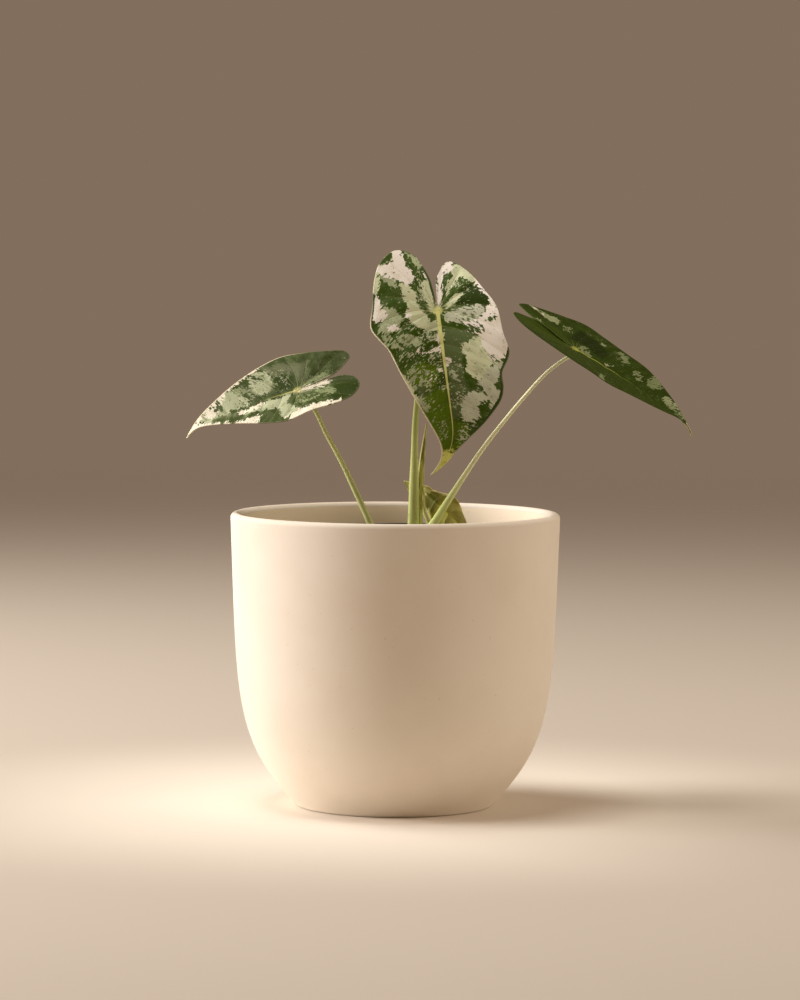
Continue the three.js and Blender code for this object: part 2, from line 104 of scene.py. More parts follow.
RIGHT = {
    "junction": (92.8, 6.0, 236.6), "turn": (-8.6, 30.0, 14.3), "length": 76.0,
    "bend": 0.0014, "fold": 0.19, "swell": 0.4, "hook": (60.0, 0.0, 5.0),
    "radii": (3, 2.75, 2.3, 1.8, 1.38, 1.18, 1.05, 0.98, 0.94, 0.95),
    "wing": ((-1, -0.2, 0.5), 2.6, 0.27),
    "path": (
        7.6,-6.2,110.3, 8.1,-6.2,119, 11.8,-5.4,131, 20,-4.4,146.5, 31.1,-3,164.4, 44.1,-1.8,184,
        53.5,-0.6,196.4, 67.2,1.5,213, 78.2,3,224.8, 87.4,5.5,231.6,
    ),
    "outline": (
        -4,0.4,0.3, -24.6,2.5,3, -28.9,3.2,3, -33.7,5.1,3, -37.6,8.2,2.5, -37.6,11.5,1.5,
        -35,16.5,0.3, -30.9,21.3,-1.3, -16.2,26.5,-1.2, -3.7,29.1,-0.6, 8.1,29.4,-1.6,
        22.1,24.7,-0.1, 36.8,19.5,1.7, 53.7,10.3,1.6, 66,2.6,0.8, 70.5,0.5,0.2, 76,0,0,
        70.5,-0.5,0.2, 66,-2.6,0.4, 53.7,-10.3,-0.7, 36.8,-19.5,-1.6, 26,-23.4,-2.3,
        14.7,-27.2,-1.3, 2.9,-30.2,-0.5, -9.6,-27.6,0, -23.6,-24.7,1.2, -30.9,-21.3,2.4,
        -35.5,-15,3.4, -35,-8.5,3.6, -31.9,-4,3.4, -28,0.2,3, -24.6,1.1,3, -4,0.15,0.3,
    ),
}
SMALL = {
    "junction": (15.0, 13.0, 163.1), "turn": (6.0, 43.0, -72.0), "length": 35.0,
    "bend": 0.008, "fold": 0.25, "swell": 0.25, "hook": (24.0, 0.0, 3.0),
    "radii": (1.6, 1.4, 1.2, 1, 0.9), "wing": None,
    "path": (
        13.5,9.6,110.3, 14.5,9.8,120, 17.6,9.5,131, 18.4,9.5,141, 17.2,9.5,146.5, 15.4,9.8,151.1,
        14.4,10,155.8, 14.2,10.5,159.4,
    ),
    "outline": (
        -1.6,-0.3,0, -3.6,0.5,0, -6.8,2.2,0.5, -10.7,4,-0.5, -7.4,6,0.5, -3.8,7,0, 1.3,6,1,
        5.4,6.2,-1, 9.9,8.2,1, 15.7,10.1,-0.8, 25,10,0.6, 32,4.5,0, 35,0,0, 29.4,-2.9,0,
        23.8,-5.3,-0.8, 19.2,-6.9,0.8, 15.1,-8.4,-1.2, 11.1,-6.7,1, 7.6,-4.9,-1, 3.9,-2.9,1,
        0.4,-2.9,-0.8, -1.5,-1.5,0,
    ),
}
NEW_LEAF = {
    "seam_step": 0.3, "radii": (1.5, 1.4, 1.4, 1.45, 1.6, 1.1, 0.3),
    "path": (
        13.6,4.8,110.3, 13,5.2,121, 12.5,5.1,146.2, 12.8,4.8,160, 13.5,4.4,176.4, 15.2,3.4,192,
        15.9,3,197.9,
    ),
}

# Colour patches of the blades. A row has how solid the patch is, 3 for whole and 0 for half broken
# into speckles, and then its corners as places along and across the midrib. blade_finish says how
# the kinds lie over each other.

PATCH_KINDS = ("grey", "pale", "white", "dark", "rolled", "fresh", "deep", "dull", "flecked",
               "marked")

LEFT["grey"] = (
    (0, 11,-13, 15,-11, 22,-13, 26,-10, 22,-6, 14,-5, 11,-8),
    (0.4, -1,-1, -6,-4, -12,-6, -18,-5, -18,-3, -12,-3, -6,-2),
    (1, -13,5, -16,4, -19,9, -17,12, -14,12, -12,9),
    (0, 30,-14, 36,-12, 34,-6, 26,-10),
    (1, -3,3, -10,3, -13,6, -10,12, -4,14, 2,12, 2,6),
)
LEFT["pale"] = (
    (3, 45,-13, 39,-14, 33.5,-14, 31,-11, 28.7,-8.5, 26,-5, 25.3,-1, 28,-0.5, 33,0, 40,1, 45,0,
     47,-6),
    (0.8, 19,-21, 13,-19, 11,-15, 12,-8, 15,-5, 20,-5, 22,-9, 24,-13, 23,-18),
    (3, 3,2, 10,1, 19,2, 24,5, 29,7, 24,8, 20,8, 12,12, 12,17, 11,23, 6,26, 1,22, 2,17, 4,13, 6,9,
     4,4),
    (2, 46,-8, 50,-6, 54,-3, 50,3, 46,4, 44,0, 42,-6),
)
LEFT["white"] = (
    (3, 56,-3, 50,-7, 46,-10, 44,-9, 50,-4, 54,-1, 50,2, 46,5, 38,9, 36,13, 44,10, 52,6, 58,3, 66,1,
     66,-1),
    (2, 18,1, 23,1, 28,3, 33,2, 32,5, 27,6, 22,5),
    (2, 22,13, 26,11, 31,12, 36,12, 32,17, 27,20, 23,18),
    (2, 1,0.5, -5,-1, -10,-1, -15,-2, -19,-1, -17,1, -12,2.5, -6,2, 0,1.5),
    (2.5, 6,21, -2,17.5, -8,18, -13,19, -20,20, -20,23, -4,25, 4,27, 10,27, 10,23),
    (1, 51,-4, 46,-10, 40,-13, 38,-9, 43,-3, 48,-1),
    (3, 43,-8, 47,-7, 51,-4, 48,-1, 44,-1, 43,-4),
    (0.5, 45,-10, 32,-18, 20,-24, 12,-27, 14,-24, 22,-21, 33,-15, 43,-9),
)
LEFT["dark"] = (
    (2, 12,12, 13,17, 12,22, 12,25, 19,24, 26,20, 24,14, 19,11),
    (2, 30,6, 36,3, 44,2, 48,1, 46,4, 40,7, 34,10, 30,9),
    (2, 6,7, 4,4, 2,4, 1,9, 2,13, 5,11),
    (0.5, -1,4, -5,3, -9,6, -11,10, -8,12, -2,11, 0,8),
    (0, 42,-12, 40,-8, 41,-4, 44,-4, 47,-8, 45,-11),
    (2, 8,23, 12,22, 20,22, 20,27, 8,28),
)
LEFT["fresh"] = ((3, -14,12, -20,4, -30,2, -33,10, -24,20, -16,21),)
LEFT["deep"] = ((3, 10,-3, 10,-12, 4,-15, 0,-10, 1,-4),)
# The first row is a band of painted sheen running from the junction out to the far margin; the
# second a greyer green mark further along the midrib.
LEFT["dull"] = (
    (3, 13,-22, 8,-23, -2,-19, -9,-17, -6,-9, -2,-6, -1,-12, 6,-15, 12,-14),
    (2, 50,0, 42,2, 34,6, 34,3, 44,-1, 52,-2),
)
LEFT["flecked"] = (
    (3, 16,-3, 18,-9, 22,-15, 30,-16.5, 33,-14, 28,-8, 25,-2),
    (1.5, 0,-16, 8,-20, 14,-20, 12,-4, 4,-2),
    (2, 2,2, 2,8, -8,11, -17,8, -18,2, -8,2),
    (3, 30,2, 50,-1, 52,3, 36,8, 22,14, 22,8),
    (1, -2,-1, -6,-8, -22,-8, -22,-3, -10,-1),
)
LEFT["marked"] = (
    (0, 11,-17, 11,-4, 22,-4, 24,-12, 18,-18),
    (1, 26,-9, 26,-1, 32,-1, 32,-10),
)
CENTRE["grey"] = (
    (3, 2,3, 1,8, 1,15, 1,20, 3,24, 6,24, 8,20, 11,18, 9,13, 7,4, 5,2),
    (3, 32,27, 31,29, 33,30, 38,27, 43,24, 46,27, 48,27, 54,24, 56,21, 52,20, 49,20, 45,18, 41,16,
     36,19, 33,22),
    (3, 44,10, 44,15, 47,19, 48,22, 51,18, 53,14, 57,14, 60,10, 59,6, 55,5, 49,5, 47,9),
    (3, -5,-29, -4,-24, -2,-21, 3,-18, 6,-21, 8,-20, 10,-20, 10,-26, 9,-32, 4,-29, -1,-27),
    (3, 12,-23, 11,-18, 14,-11, 17,-10, 19,-12, 18,-18, 15,-22),
    (0.6, 11,-30, 11,-26, 16,-22, 19,-20, 18,-27, 15,-30),
    (2, -36,-12, -33,-6, -27,-4, -25,-7, -28,-9, -31,-11),
    (3, -22,-27, -15,-22, -15,-19, -20,-20, -24,-24),
    (0, 31,-18, 29,-12, 31,-8, 38,-11, 40,-18, 36,-21),
    (-0.5, 61,6, 60,12, 66,9, 69,3, 66,2),
    (0.4, 44,-17, 42,-14, 48,-12, 52,-12, 47,-16),
    (1, 2,-14, 6,-9, 8,-6, 9,-10, 5,-14),
    (0.8, 33,2, 32,4, 35,6, 36,4),
)
CENTRE["pale"] = (
    (3, -16,-18, -17,-14, -12,-10, -5,-10, 0,-6.5, 3,-2, 8,0, 11,0, 9.5,-9, 6,-14, 0,-16, -6,-15.5,
     -11,-17),
    (2, -19,-6, -18,-3, -16,-1, -5,-1, 1,-1, 0,-4, -8,-6, -13,-7),
    (2, -26,11, -24,15, -20,18, -17,21, -14,23, -12,21, -14,18, -16,13, -16,10, -20,10),
    (2, -16,7, -17,10, -13,10, -10,7, -7,5),
    (2, -3,5, -8,10, -7,14, -4,11, -2,8, 0,4),
    (3, 19,10, 19,14, 18,17, 16,20, 23,21, 29,24, 32,27, 32,24, 34,22, 37,19, 40,17, 37,13, 33,10,
     27,11, 23,10),
    (1, 12,-3, 12,2, 17,1, 17,-2),
    (3, -32,-29, -28,-25, -22,-27.5, -12,-29, -12,-34, -24,-31),
    (3, 31,-24, 34,-20, 38,-18, 45,-15.5, 46,-17.5, 40,-20.5, 36,-22.5),
)
CENTRE["white"] = (
    (3, -39,-20, -39,-17, -34,-14, -28,-13.5, -24,-11, -18,-10, -15,-14, -19,-19, -22,-24.5,
     -24,-28, -27,-29, -28,-23, -31,-19.5, -35,-19),
    (1.5, -13,-34, -12,-30, -8,-29, -4,-28, -2,-25.5, 1,-26, 3,-29, 4,-33, 2,-34),
    (2, 7,-27, 6,-23, 8,-21, 9,-25),
    (3, -29,7, -28,11, -22,10, -19,7, -14,4, -7,3, -1,1, -2,0, -8,0, -15,1, -21,2, -26,5),
    (3, -15,22, -13,27, -7,29, 2,32, 7,34, 20,34, 27,36, 30,30, 31,27, 29,24, 26,22, 22,20, 15,20,
     8,19, 6,24, 3,25, 1,27, -5,25, -8,22, -11,21),
    (1, 8,19, 9,12, 14,14, 16,20),
    (0.2, 19,-16, 19,-13, 20,-7, 20,-1, 22,-1, 22,-7, 21,-13),
    (1, 13,-3, 13,-1, 19,-1, 17,-2),
    (-0.9, 30,-9, 30,-3, 34,-1, 40,-1, 41,-5, 36,-9),
    (1, 25,1, 27,4, 28,2, 30,1),
    (1, -26,-5, -23,-3, -19,-2, -18,-3, -22,-5),
    (1, -1,-16, 1,-14, 2,-16, 0,-17),
)
CENTRE["dark"] = (
    (2, -22,6, -20,7, -14,6, -13,4, -18,5),
    (0.6, -38,-15, -37,-13, -32,-11, -24,-8, -20,-9, -26,-13, -32,-14),
    (1, -36,-26, -31,-28, -29,-23, -32,-23, -33,-20),
    (3, 50,14, 49,18, 53,20, 56,17, 55,14),
    (0.5, -27,-27, -30,-24, -30,-20, -32,-22, -32,-24, -31,-26),
    (0.3, 8,25, 6,28, 9,29, 11,26),
    (0.3, 12,13, 10,16, 12,22, 15,22, 15,15),
    (2, 3,-5, 1,-5, 2,-2, 4,-2, 5,-4),
    (2, -9,0, -2,0.6, -2,-0.8, -9,-0.8, -18,0, -18,1),
)
# The rolled patches are painted dark green as painted shade: the shade in the curled margins and
# along the left notch's edge.
CENTRE["rolled"] = (
    (2, 20,36, 26,32.4, 30,31, 36,27.4, 40,26.8, 44,27, 49,25, 58,17.4, 64,10.5, 67,12, 58,22,
     50,30, 40,33, 30,38),
    (1, 8,-33, 2,-33.6, -6,-31.8, -12,-30.6, -14,-34, 0,-38, 10,-36),
    (1, -27,-5.8, -19,-2.8, -6,-1.4, -4,0.3, -19,-0.6, -28,-4),
)
CENTRE["fresh"] = (
    (0.8, 40,-2, 44,-12, 50,-15, 62,-10, 72,-4, 74,2, 66,8, 60,8, 58,2, 45,-1),
    (2, 29,-3, 27,-12, 31,-20, 40,-16, 40,-6),
)
CENTRE["deep"] = ((3, -9,13, -12,18, -6,24, 1,28, 3,24, 0,16, -2,10),)
CENTRE["dull"] = (
    (3, 11,1, 12,12, 17,16, 22,10, 30,9, 45,10, 57,5, 57,1, 30,0.5),
    (3, 38,-18, 36,-12, 42,-12, 46,-14),
)
CENTRE["flecked"] = (
    (-0.6, -20,-28, -14,-29, -5,-28, 4,-22, 8,-18, 8,-12, 0,-13, -6,-13, -15,-16, -17,-22),
    (3, -37,-27, -28,-29, -27,-20, -34,-19),
    (3, -38,-16, -34,-6, -24,-5, -20,-4, -5,-4, -5,-10, -20,-12, -28,-13),
    (3, 2,-15, 4,-8, 12,-1, 20,-1, 20,-10, 10,-20),
    (1.8, 20,-25, 22,-1, 42,-1, 42,-12, 36,-18, 28,-22),
    (1, 24,1, 24,9, 42,9, 52,6, 52,1),
    (1, 58,5, 60,14, 66,14, 70,4, 62,2),
    (0.6, 44,-15, 50,-12, 66,-8, 70,-3, 56,-3, 44,-6),
    (1, -18,6, -20,20, -8,22, -4,26, -8,16, -12,7),
)
CENTRE["marked"] = (
    (3, 4,2, 3,12, 1,14, 1,22, 6,22, 10,19, 16,22, 15,12, 10,10, 10,3),
    (1, 6,23, 7,28, 10,28, 10,23),
    (3, 9,-28, 12,-16, 19,-13, 19,-22, 12,-29),
)
RIGHT["grey"] = (
    (0.3, 1,2, 1,7, 4,8, 7,4, 8,1, 4,1),
    (1, 19,22, 22,22, 25,19, 27,16, 24,14, 21,17),
    (0.6, 31,11, 33,14, 35,12, 38,7, 35,6, 32,8),
    (0.7, 39,12, 41,17, 45,16, 48,13, 47,9, 44,6, 41,8),
    (0.4, 61,-3, 66,-2, 70,0, 67,2, 62,6),
    (0.5, 18,-18, 21,-17, 23,-25, 20,-26),
    (-0.3, -13,16, -9,18, -7,14, -11,11),
)
RIGHT["pale"] = (
    (2, -34,17.5, -31,20, -23.5,20, -17,20, -14.5,17, -16,14, -22,14, -27,15.5, -31,17),
    (1, -27,6, -24,8, -23,5, -26,4),
    (1, 8,20, 9,22, 11,21, 10,19),
    (0.8, 51,8, 55,8, 60,7, 63,5, 64,1, 58,1, 53,3),
    (0.8, 17,3, 19,6, 21,6, 19,2),
)
RIGHT["white"] = ((1, -33,17.5, -30,19, -25,18.5, -25,17, -29,17),)
RIGHT["fresh"] = ((3, -4,2, -12,10, -26,8, -38,8, -36,-10, -30,-20, -12,-14, -4,-4),)
RIGHT["deep"] = ((3, -6,8, -4,20, 6,20, 16,14, 14,5, 4,9),)
RIGHT["flecked"] = (
    (0.4, -4,22, 4,25, 12,25, 22,22, 30,12, 24,10, 10,20),
    (-0.6, 28,3, 40,4, 52,4, 50,-2, 40,-1),
    (0, 6,-12, 6,-20, 24,-24, 26,-14),
)
RIGHT["marked"] = ((2, 56,0, 56,6, 68,4, 68,-3),)
SMALL["grey"] = (
    (2, 4,-2.8, 7,-5.5, 11,-8, 12,-6, 8,-4),
    (2, -1,-1.5, 0.5,-3.5, 3,-2.5, 3,-0.5, 0,0),
)
SMALL["pale"] = (
    (3, -3,-0.5, 1.4,-1, 4,3.2, 7.8,6.5, 10.5,8.6, 10,13, 5,11, 0,8, -3,4),
    (3, -12,3, -8,2, -3,4, -3,6, -8,5),
)
SMALL["dark"] = ((3, -1,-4, 0.5,-2.2, 3,-2, 4.5,-4),)
SMALL["fresh"] = ((3, 16,-7, 20,-6.5, 27,-3.5, 27,0, 22,2, 18,-2, 15,-4),)
SMALL["deep"] = ((3, 2.4,-3.6, 6,-4, 10,-2, 10.5,2, 11,5, 10.5,7.6, 7.8,5.6, 4.5,2.5, 2.6,-0.6),)

# How blades and stalks are made, and how the side veins run

BLADE_THICKNESS = 0.5
CREASE_WIDTH = 2.0
MARGIN_POWER = 2.5
ROW_POWER = 0.8
LAST_ROWS = (0.992, 0.998, 1.0)
LAST_THICKNESS = (0.7, 0)
RIB_ABOVE = 0.12
RIB_BELOW = 0.75
VEIN_BELOW = 0.22
FLARE = 0.45
FLARE_FROM = 0.965
STALK_END_DEPTHS = (3.65, 0.1)
VEIN_SPACING = 10.0
VEIN_OFFSET = 8.0
FIRST_VEIN_ANGLE = math.radians(75)
VEIN_SWEEP = 0.012
LOBE_VEIN_REACH = 25.0
OUTSIDE_DEPTH = -6.0


# Camera: the photograph's angle, a long lens from about two metres

CAMERA_PLACE = (2.4, -2095.0, 300.3)
CAMERA_PITCH = 0.0676
CAMERA_ROLL = 0.0047
CAMERA_LENS = 145.98


def put(name, data):
    made = bpy.data.objects.new(name, data)
    bpy.context.scene.collection.objects.link(made)
    return made


def make_camera():
    data = bpy.data.cameras.new("camera")
    data.lens = CAMERA_LENS
    data.sensor_width = 36.0
    data.clip_end = 100.0
    camera = put("camera", data)
    level = Matrix.Rotation(math.pi / 2 - CAMERA_PITCH, 4, "X")
    rolled = Matrix.Rotation(CAMERA_ROLL, 4, "Z")
    camera.matrix_world = Matrix.Translation([c * MM for c in CAMERA_PLACE]) @ level @ rolled
    bpy.context.scene.camera = camera


# Shader maths

def tone(red, green, blue):
    """A shader colour from a screen's tone."""
    def linear(level):
        share = level / 255
        return share / 12.92 if share <= 0.04045 else ((share + 0.055) / 1.055) ** 2.4
    return (linear(red), linear(green), linear(blue), 1.0)


class Wire:
    """A node's output that sums can be written with. Each operator adds one Math node."""

    def __init__(self, finish, socket):
        self.finish = finish
        self.socket = socket

    def maths(self, operation, *values):
        return self.finish.node("ShaderNodeMath", values, operation=operation)

    def __add__(self, other):
        return self.maths("ADD", self, other)

    def __sub__(self, other):
        return self.maths("SUBTRACT", self, other)

    def __rsub__(self, other):
        return self.maths("SUBTRACT", other, self)

    def __mul__(self, other):
        return self.maths("MULTIPLY", self, other)

    def absolute(self):
        return self.maths("ABSOLUTE", self)

    def to_nearest(self, spacing):
        """Distance to the nearest multiple of spacing."""
        return self.maths("PINGPONG", self, spacing / 2)


class Finish:
    """A material with a constant specular level."""

    def __init__(self, name, specular):
        self.material = bpy.data.materials.new(name)
        self.material.use_nodes = True
        self.tree = self.material.node_tree
        self.tree.nodes.clear()
        self.surface = self.tree.nodes.new("ShaderNodeBsdfPrincipled")
        self.surface.inputs["Specular IOR Level"].default_value = specular
        self.output = self.tree.nodes.new("ShaderNodeOutputMaterial")
        self.tree.links.new(self.surface.outputs[0], self.output.inputs["Surface"])

    def fill(self, node, sockets):
        for key, value in sockets.items() if isinstance(sockets, dict) else enumerate(sockets):
            if isinstance(value, Wire):
                self.tree.links.new(value.socket, node.inputs[key])
            else:
                node.inputs[key].default_value = value

    def node(self, kind, sockets=(), output=0, **settings):
        """Any node: its type, values or links for its sockets by place or name, and settings."""
        made = self.tree.nodes.new(kind)
        for key, value in settings.items():
            setattr(made, key, value)
        self.fill(made, sockets)
        return Wire(self, made.outputs[output])

    def place(self):
        return self.node("ShaderNodeTexCoord", output="Object")

    def in_mm(self, across=1.0, upward=1.0):
        """Object coordinates in millimetres, stretched by the two factors."""
        scale = (1000 * across, 1000 * across, 1000 * upward)
        return self.node("ShaderNodeMapping", {"Vector": self.place(), "Scale": scale})

    def attribute(self, name):
        return self.node("ShaderNodeAttribute", output="Fac", attribute_name=name)

    def uv(self, name):
        """The two coordinates of a UV map, in millimetres."""
        flat = self.node("ShaderNodeUVMap", uv_map=name)
        return [self.node("ShaderNodeSeparateXYZ", (flat,), i) * 100.0 - 50.0 for i in (0, 1)]

    def vector(self, x, y, z=0.0):
        return self.node("ShaderNodeCombineXYZ", (x, y, z))

    def length(self, vector):
        return self.node("ShaderNodeVectorMath", (vector,), "Value", operation="LENGTH")

    def noise(self, vector, scale, detail=3.0, roughness=0.55):
        """Cloudy noise of about 0 to 1, around 0.5."""
        return self.node("ShaderNodeTexNoise", {
            "Vector": vector, "Scale": scale, "Detail": detail, "Roughness": roughness,
        })

    def step(self, value, low, high, start=0.0, end=1.0):
        """Smooth rise from start to end as the value goes from low to high."""
        sockets = (value, low, high, start, end)
        return self.node("ShaderNodeMapRange", sockets, interpolation_type="SMOOTHSTEP")

    def mix(self, under, *layers):
        """A tone or colour, with pairs of a tone or colour and its factor laid over it in turn."""
        for over, factor in layers:
            low, high = (tone(*side) if isinstance(side, tuple) else side for side in (under, over))
            under = self.node("ShaderNodeMix", {0: factor, 6: low, 7: high}, 2, data_type="RGBA")
        return under

    def finish(self, colour, roughness, relief=None):
        """The material, with its relief in millimetres."""
        self.fill(self.surface, {"Base Color": colour, "Roughness": roughness})
        if relief:
            bump = self.node("ShaderNodeBump", {"Height": relief, "Distance": MM, "Strength": 1.0})
            self.fill(self.surface, {"Normal": bump})
        return self.material


# Mesh making

def make_mesh(name, points, faces, material, attributes={}, maps={}):
    """A smooth mesh from points in metres and arrays of faces with one number of corners each.
    attributes and maps hold values for each point."""
    mesh = bpy.data.meshes.new(name)
    corners = np.concatenate([part.ravel() for part in faces])
    sizes = np.concatenate([np.full(len(part), part.shape[1]) for part in faces])
    mesh.vertices.add(len(points))
    mesh.vertices.foreach_set("co", points.astype(np.float32).ravel())
    mesh.loops.add(len(corners))
    mesh.loops.foreach_set("vertex_index", corners.astype(np.int32))
    mesh.polygons.add(len(sizes))
    mesh.polygons.foreach_set("loop_start", (np.cumsum(sizes) - sizes).astype(np.int32))
    mesh.update(calc_edges=True)
    mesh.polygons.foreach_set("use_smooth", np.ones(len(sizes), bool))
    for key, values in attributes.items():
        layer = mesh.attributes.new(key, "FLOAT", "POINT")
        layer.data.foreach_set("value", np.asarray(values, np.float32))
    for key, values in maps.items():
        layer = mesh.uv_layers.new(name=key)
        flat = (np.asarray(values)[corners] + 50.0) / 100.0
        layer.data.foreach_set("uv", flat.astype(np.float32).ravel())
    mesh.materials.append(material)
    mesh.update()
    return mesh


def add_piece(name, mesh, slot, replaces=True):
    """A mesh as a piece of the part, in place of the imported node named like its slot."""
    piece = put(name, mesh)
    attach(piece, "root")
    if replaces:
        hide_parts(slot)


def skin(index):
    """Faces between the rows of a grid of point numbers, each row closed round on itself."""
    beside = np.roll(index, -1, axis=1)
    return np.stack([index[:-1], beside[:-1], beside[1:], index[1:]], -1).reshape(-1, 4)


def fan(row, pole):
    """Triangles from a closed row of point numbers to one pole, facing the way that they turn."""
    return np.stack([row, np.roll(row, -1), np.full(len(row), pole)], -1)


def capped(rows, sides):
    """Faces of a grid of closed rows with a pole below the first and one above the last."""
    index = np.arange(rows * sides).reshape(rows, sides)
    return [skin(index), fan(index[0][::-1], rows * sides), fan(index[-1], rows * sides + 1)]


def rings(radius, height, segments):
    """Rows of points round Z, one row for each radius and height."""
    angle = np.arange(segments) * 2 * math.pi / segments
    return np.stack([
        radius[:, None] * np.cos(angle), radius[:, None] * np.sin(angle),
        np.repeat(height[:, None], segments, 1),
    ], -1).reshape(-1, 3)


def turned(profile, segments, centre_x=0.0):
    """A profile turned about Z. It has radius and height pairs, from the axis below to the axis
    above, where two poles close the surface."""
    radius, height = np.asarray(profile)[1:-1].T
    poles = [[0, 0, profile[0][1]], [0, 0, profile[-1][1]]]
    points = np.concatenate([rings(radius, height, segments), poles]) + (centre_x, 0, 0)
    return points, capped(len(radius), segments)


def bezier(start, first, second, end, steps):
    """Cubic curve through start and end, pulled towards the two handles between them."""
    t = np.linspace(0, 1, steps)[:, None]
    start, first, second, end = (np.asarray(p, float) for p in (start, first, second, end))
    return (
        (1 - t) ** 3 * start + 3 * t * (1 - t) ** 2 * first + 3 * t * t * (1 - t) * second
        + t ** 3 * end
    )


def smooth_path(points, per_span=24):
    """Centripetal Catmull-Rom curve: cubics whose slopes come from the neighbouring points, with
    steps in proportion to the square root of their distances."""
    points = np.reshape(points, (-1, 3))
    whole = np.concatenate([[2 * points[0] - points[1]], points, [2 * points[-1] - points[-2]]])
    p0, p1, p2, p3 = (whole[i:len(whole) - 3 + i, None, :] for i in range(4))
    gap = np.maximum(np.linalg.norm(np.diff(whole, axis=0), axis=1), 1e-6)[:, None, None] ** 0.5
    d0, d1, d2 = gap[:-2], gap[1:-1], gap[2:]
    slope1 = ((p1 - p0) / d0 - (p2 - p0) / (d0 + d1) + (p2 - p1) / d1) * d1
    slope2 = ((p2 - p1) / d1 - (p3 - p1) / (d1 + d2) + (p3 - p2) / d2) * d1
    t = np.linspace(0, 1, per_span, endpoint=False)[None, :, None]
    curve = (
        (2 * t ** 3 - 3 * t ** 2 + 1) * p1 + (t ** 3 - 2 * t ** 2 + t) * slope1
        + (3 * t ** 2 - 2 * t ** 3) * p2 + (t ** 3 - t ** 2) * slope2
    )
    return np.concatenate([curve.reshape(-1, 3), points[-1:]])


def evenly(curve, count):
    """The curve's points again, at even steps of its length."""
    gone = np.concatenate([[0], np.cumsum(np.linalg.norm(np.diff(curve, axis=0), axis=1))])
    at = np.linspace(0, gone[-1], count)
    return np.stack([np.interp(at, gone, column) for column in curve.T], -1)


def unit(vectors):
    """The vectors at length 1."""
    return vectors / np.maximum(np.linalg.norm(vectors, axis=-1, keepdims=True), 1e-12)


def add_tube(name, path, radius_at, rows, sides, material, last=None):
    """A closed tube that starts upright and ends along last. radius_at gives the radius for the
    share of the length gone, the angle and the direction, which is square to the path."""
    centre = evenly(smooth_path(path), rows)
    heading = np.gradient(centre, axis=0)
    heading[0] = (0, 0, 1)
    if last is not None:
        heading[-1] = last
    heading = unit(heading)
    depth = unit(np.array([0.0, 1.0, 0.0]) - heading[:, 1:2] * heading)
    width = np.cross(depth, heading)
    angle = np.arange(sides) * 2 * math.pi / sides
    direction = width[:, None] * np.cos(angle)[:, None] + depth[:, None] * np.sin(angle)[:, None]
    angle = np.repeat(angle[None], rows, 0)
    share = np.repeat(np.linspace(0, 1, rows)[:, None], sides, 1)
    radius = radius_at(share, angle, direction)
    points = (centre[:, None] + direction * radius[..., None]).reshape(-1, 3)
    points = np.concatenate([points, centre[:1], centre[-1:]])
    turn = np.append(angle, (0, 0))
    add_piece(name, make_mesh(name, points * MM, capped(rows, sides), material, {
        "share": np.append(share, (0, 1)), "turn": turn,
        "side": np.cos(turn), "front": np.sin(turn),
    }), name)


def eased(value, low, high):
    """Smooth rise from 0 to 1 as the value goes from low to high."""
    share = np.clip((np.asarray(value, float) - low) / (high - low), 0, 1)
    return share * share * (3 - 2 * share)


def point_normals(points, faces):
    """Mean of the normals of the faces round each point, from the cross products of diagonals."""
    normals = np.zeros_like(points)
    for part in faces:
        corner = points[part]
        facing = np.cross(corner[:, 2] - corner[:, 0], corner[:, -1] - corner[:, 1])
        for column in part.T:
            np.add.at(normals, column, facing)
    return unit(normals)


# Leaves

def leaf_turn(leaf):
    """Rotation of a leaf: rolled about its midrib, then dipped, then turned to its heading."""
    heading, dip, roll = (math.radians(angle) for angle in leaf["turn"])
    return np.array(Euler((roll, dip, heading), "XYZ").to_matrix())


def blade_place(leaf, along, across, lift):
    """The middle of the blade in its own frame: the fold, rounded at the crease, and the lift,
    carried round the arch of the midrib. The drip tip leaves with the cube of the share gone."""
    bend = leaf["bend"]
    turn = along * bend
    hooked, aside, down = leaf["hook"]
    past = np.maximum(0, (along - hooked) / (leaf["length"] - hooked)) ** 3
    height = leaf["fold"] * (np.hypot(across, CREASE_WIDTH) - CREASE_WIDTH) + lift - down * past
    return np.stack([
        np.sin(turn) / bend + height * np.sin(turn),
        across + aside * past,
        height * np.cos(turn) - (1 - np.cos(turn)) / bend,
    ], -1)


def vein_places(along, across):
    """Coordinates that follow the side veins: where a vein starts on the midrib, how far along it
    a place lies, and how far apart veins are there. Ahead of the junction a vein leaves at the
    first vein angle and sweeps forward with the square of the distance across. In the lobes the
    veins fan out from the junction."""
    ahead = along - VEIN_SWEEP * across ** 2
    out = np.hypot(ahead, across)
    angle = np.arctan2(np.abs(across), ahead)
    lobe = angle > FIRST_VEIN_ANGLE
    start = np.where(
        lobe, LOBE_VEIN_REACH * (FIRST_VEIN_ANGLE - angle),
        ahead - np.abs(across) / math.tan(FIRST_VEIN_ANGLE),
    )
    gone = np.where(lobe, out, np.abs(across) / math.sin(FIRST_VEIN_ANGLE))
    spread = np.where(lobe, np.minimum(out / LOBE_VEIN_REACH, 1), 1)
    return start, np.copysign(gone, across), spread


def patch_depth(places, patches):
    """How deep each place lies in the colour patches, in millimetres and below 0 outside them:
    the distance to a patch's outline, at most its solidity, and the greatest of all patches."""
    depth = np.full(len(places), OUTSIDE_DEPTH)
    for solid, *outline in patches:
        corner = np.array(outline, float).reshape(-1, 2)
        side = np.roll(corner, -1, axis=0) - corner
        offset = places[:, None] - corner
        share = np.clip((offset * side).sum(-1) / (side ** 2).sum(-1), 0, 1)
        gap = np.linalg.norm(offset - share[..., None] * side, axis=-1).min(1)
        below = offset[..., 1] < 0
        slope = side[:, 0] / np.where(side[:, 1] == 0, 1, side[:, 1])
        crossed = (below != np.roll(below, -1, axis=1)) & (offset[..., 0] < slope * offset[..., 1])
        inside = crossed.sum(1) % 2 == 1
        depth = np.maximum(depth, np.minimum(np.where(inside, gap, -gap), solid))
    return depth


